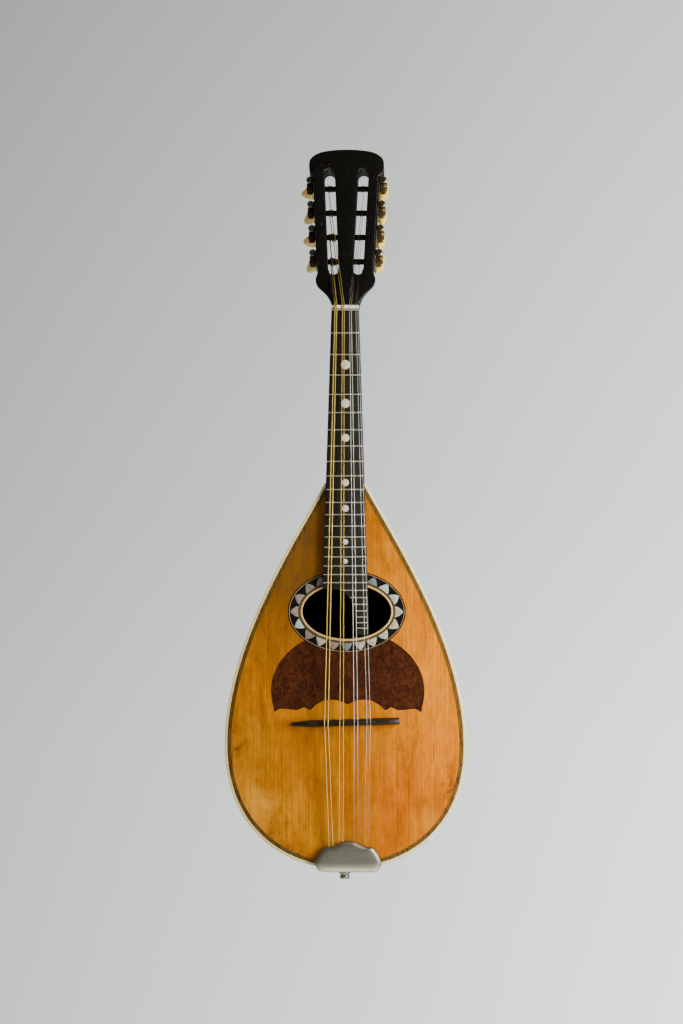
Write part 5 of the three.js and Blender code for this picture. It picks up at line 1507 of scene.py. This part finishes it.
def make_string(course, number, machine):
    member = number - 0.5
    radius = STRING_RADII[course]
    front = -FINGERBOARD_THICKNESS - FRET_HEIGHT - SEAT_GAP - radius
    nut_x = spread_at(NUT_SPREAD, COURSE_SHARES[course], member)
    bridge_x = spread_at(BRIDGE_SPREAD, COURSE_SHARES[course], member)
    hook_x = spread_at(HOOK_SPREAD, HOOK_SHARES[course], member)
    nut_back = NUT_HIGH + SEAT_GAP
    tail = CANT_MATRIX @ Vector((hook_x, -STRING_SEAT - radius, HOOK_PLACE + HOOK_SIZE[2] / 2 + SEAT_GAP))
    over = Vector((bridge_x, -BRIDGE_HEIGHT - SEAT_GAP - radius,
                   -BRIDGE_DROP + bridge_x * math.sin(BRIDGE_TILT)))
    zero = Vector((nut_x - (nut_x - bridge_x) * nut_back / SCALE_LENGTH, front, 0))
    nut_edge = Vector((nut_x, front, nut_back))
    loops = [HEAD_MATRIX @ point for point in winding(HEAD_MATRIX.inverted() @ nut_edge, machine, radius)]
    string = tube(f"wire_{course}{number + 1}", [tail, over, zero, nut_edge, *loops], radius)
    kind = "wound_string" if course in "gd" else "plain_string"
    place(string, kind, kind, f"string_{course}{number + 1}", angle=60)


def make_strings():
    """The left courses wind on the left machines from the nut up, the right ones from the top down."""
    machines = MACHINES[:MACHINE_COUNT] + MACHINES[:MACHINE_COUNT - 1:-1]
    courses = [(course, number) for course in COURSE_SHARES for number in (0, 1)]
    for (course, number), machine in zip(courses, machines):
        make_string(course, number, machine)


def skirt_outline():
    """Tail strap seen from below, with rounded far corners, in X and depth."""
    half = SKIRT_WIDTH / 2
    near = cant_at(-TAIL_DROP) + TAIL_PLATE_FRONT
    far = PIN[1] + SKIRT_REACH - SKIRT_CORNER
    points = [(-half, near), (half, near)]
    for start, x in ((0, half - SKIRT_CORNER), (math.pi / 2, -half + SKIRT_CORNER)):
        for t in sweep(start, start + math.pi / 2, 8):
            points.append((x + SKIRT_CORNER * math.cos(t), far + SKIRT_CORNER * math.sin(t)))
    return points


def make_hook(x):
    """Small hook cut from the plate and turned up towards the tail."""
    width, height, length = HOOK_SIZE
    low = (x - width / 2, TAIL_PLATE_FRONT - height, HOOK_PLACE - length / 2)
    high = (x + width / 2, TAIL_PLATE_FRONT / 2, HOOK_PLACE + length / 2)
    return transform(box_piece("hook", low, high, HOOK_ROUND, 3), CANT_MATRIX)


def make_tail():
    half = (HOOK_SPREAD[0] + HOOK_SPREAD[2]) / 2 + TAIL_PLATE_MARGIN
    bed = box_piece("bed", (COVER_OFFSET - half, TAIL_PLATE_FRONT, -SKIRT_OUTER),
                    (COVER_OFFSET + half, -SEAT_GAP, -TAIL_DROP + TAIL_PLATE_TOP), TAIL_PLATE_ROUND)
    for vertex in bed.data.vertices:
        vertex.co.y += cant_at(vertex.co.z)
    skirt = plate("skirt", [skirt_outline()], SKIRT_INNER, SKIRT_OUTER, SKIRT_ROUND)
    transform(skirt, Matrix(((1, 0, 0, 0), (0, 0, 1, 0), (0, -1, 0, 0), (0, 0, 0, 1))))
    hooks = [make_hook(spread_at(HOOK_SPREAD, share, member))
             for share in HOOK_SHARES.values() for member in (-0.5, 0.5)]
    place(join("tail_plate", [bed, skirt, *hooks]), "nickel", "nickel", "tailpiece_base")


def make_pin():
    pin = transform(lathe("strap_pin", PIN_PROFILE, 40), shift(*PIN, -(SKIRT_OUTER + SEAT_GAP)))
    place(pin, "nickel", "nickel", "end_pin")


def make_cover():
    """Stamped cover: a dome with rolled sides, open at its upper edge for the strings."""
    right = spline(scaled(COVER_SHARES, COVER_HALF_WIDTH, COVER_HEIGHT), 3)
    outline = right + mirrored(right[1:])
    centre = Vector((0, COVER_HEIGHT * COVER_CENTRE_SHARE))
    back = TAIL_PLATE_FRONT - SEAT_GAP

    def ring(level, wall):
        inset, rise = level
        y = blend(back, -COVER_FRONT, rise) + (wall if rise > COVER_SIDE_SHARE else 0)
        spots = [Vector(point).lerp(centre, inset + wall / COVER_HALF_WIDTH) for point in outline]
        return [(COVER_OFFSET + spot.x, y, COVER_FOOT + spot.y) for spot in spots]

    outer = [ring(level, 0) for level in COVER_RISE_SHARES]
    inner = [ring(level, COVER_WALL) for level in COVER_RISE_SHARES]
    cover = loft("tail_cover", [*reversed(outer), *inner])
    for vertex in cover.data.vertices:
        rise = max(0.0, vertex.co.z - COVER_FOOT)
        if rise < COVER_ROLL:
            fall = COVER_ROLL - math.sqrt(COVER_ROLL ** 2 - (COVER_ROLL - rise) ** 2)
            vertex.co.y = min(back, vertex.co.y + fall)
    place(transform(cover, CANT_MATRIX), "cover", "nickel", "tailpiece_cover", angle=50)


# Studio, in metres
CAMERA_DISTANCE = 2.4
CAMERA_SIDE = 0.072
VIEW_CENTRE = (-0.003, -0.163)
VIEW_HEIGHT = 0.8262
SENSOR = 36.0
FLOOR_RADIUS = 1.5
FLOOR_HEIGHT = -0.95
FLOOR_SIDES = 64
LIGHTS = [
    ("key", (0.62, -0.36, -0.14), (0.30, 0.70), 15.5, (0, 0, -0.25), True),
    ("fill", (-1.3, -1.9, 0.3), (1.1, 1.4), 5, (0, 0, -0.2), False),
    ("top", (0.2, -0.3, 1.4), (1.2, 0.8), 7, (0, 0, -0.2), False),
    ("low", (0.1, -0.3, -0.9), (0.8, 0.6), 1.5, (0, 0, -0.4), True),
    ("rim", (-1.1, 1.5, 0.7), (0.9, 0.9), 16, (0, 0, -0.2), False),
    ("back", (1.2, 1.6, 0.3), (1.0, 1.0), 10, (0, 0, -0.2), False),
]


def aim(thing, where, target):
    thing.location = where
    thing.rotation_mode = "QUATERNION"
    thing.rotation_quaternion = (Vector(target) - Vector(where)).to_track_quat("-Z", "Y")


def make_camera():
    data = bpy.data.cameras.new("camera")
    data.sensor_width = SENSOR
    data.lens = SENSOR * CAMERA_DISTANCE / VIEW_HEIGHT
    camera = link("camera", data)
    side, height = VIEW_CENTRE
    aim(camera, (CAMERA_SIDE, -CAMERA_DISTANCE, height), (side, 0, height))
    bpy.context.scene.camera = camera


def make_lights():
    for name, where, size, power, target, glossy in LIGHTS:
        data = bpy.data.lights.new(name, "AREA")
        data.shape = "RECTANGLE"
        data.size, data.size_y = size
        data.energy = power
        light = link(name, data)
        aim(light, where, target)
        light.visible_camera = False
        light.visible_glossy = glossy


def make_world():
    """A pale backdrop, and a surround that is darker in front of the object, which keeps its gloss deep."""
    world = bpy.data.worlds.new("studio")
    world.use_nodes = True
    nodes = Nodes(world.node_tree)
    x, y, z = (nodes.math("MULTIPLY_ADD", nodes.axis(name, "Generated"), scale, 0.5)
               for name, scale in (("X", 2.2), ("Y", 0.5), ("Z", 2.2)))
    backdrop = nodes.ramp(x, (0.18, (0.68, 0.72, 0.70)), (0.45, (1.0, 1.08, 1.04)),
                          (0.69, (1.45, 1.60, 1.53)))
    fall = nodes.ramp(z, (0.13, 1.35), (0.33, 1.22), (0.5, 1.0), (0.87, 0.68))
    surround = nodes.ramp(y, (0.0, 0.05), (0.2, 0.08), (0.5, 0.30), (1.0, 0.15))
    seen = nodes.node("LightPath", "Is Camera Ray", {})
    colour = nodes.mix("MIX", seen, surround, nodes.mix("MULTIPLY", 1.0, backdrop, fall))
    nodes.tree.links.new(colour, nodes.tree.nodes["Background"].inputs["Color"])
    bpy.context.scene.world = world


def make_floor():
    mesh = bpy.data.meshes.new("floor")
    corners = [(FLOOR_RADIUS * math.cos(t), FLOOR_RADIUS * math.sin(t), FLOOR_HEIGHT)
               for t in circle(FLOOR_SIDES)]
    mesh.from_pydata(corners, [], [tuple(range(FLOOR_SIDES))])
    paper = Finish("floor_paper", 0.8)
    paper.base(paper.noise(8, 3), (0.3, 0.74), (0.7, 0.78))
    mesh.materials.append(paper.done())
    link("floor", mesh)


make_camera()
make_board()
make_rosette()
make_triangles()
make_guard()
make_bowl()
make_clasp()
make_inside()
make_neck_and_head()
make_fingerboard()
make_nut()
make_tuners()
make_bridge()
make_strings()
make_tail()
make_cover()
make_pin()
make_world()
make_lights()
make_floor()
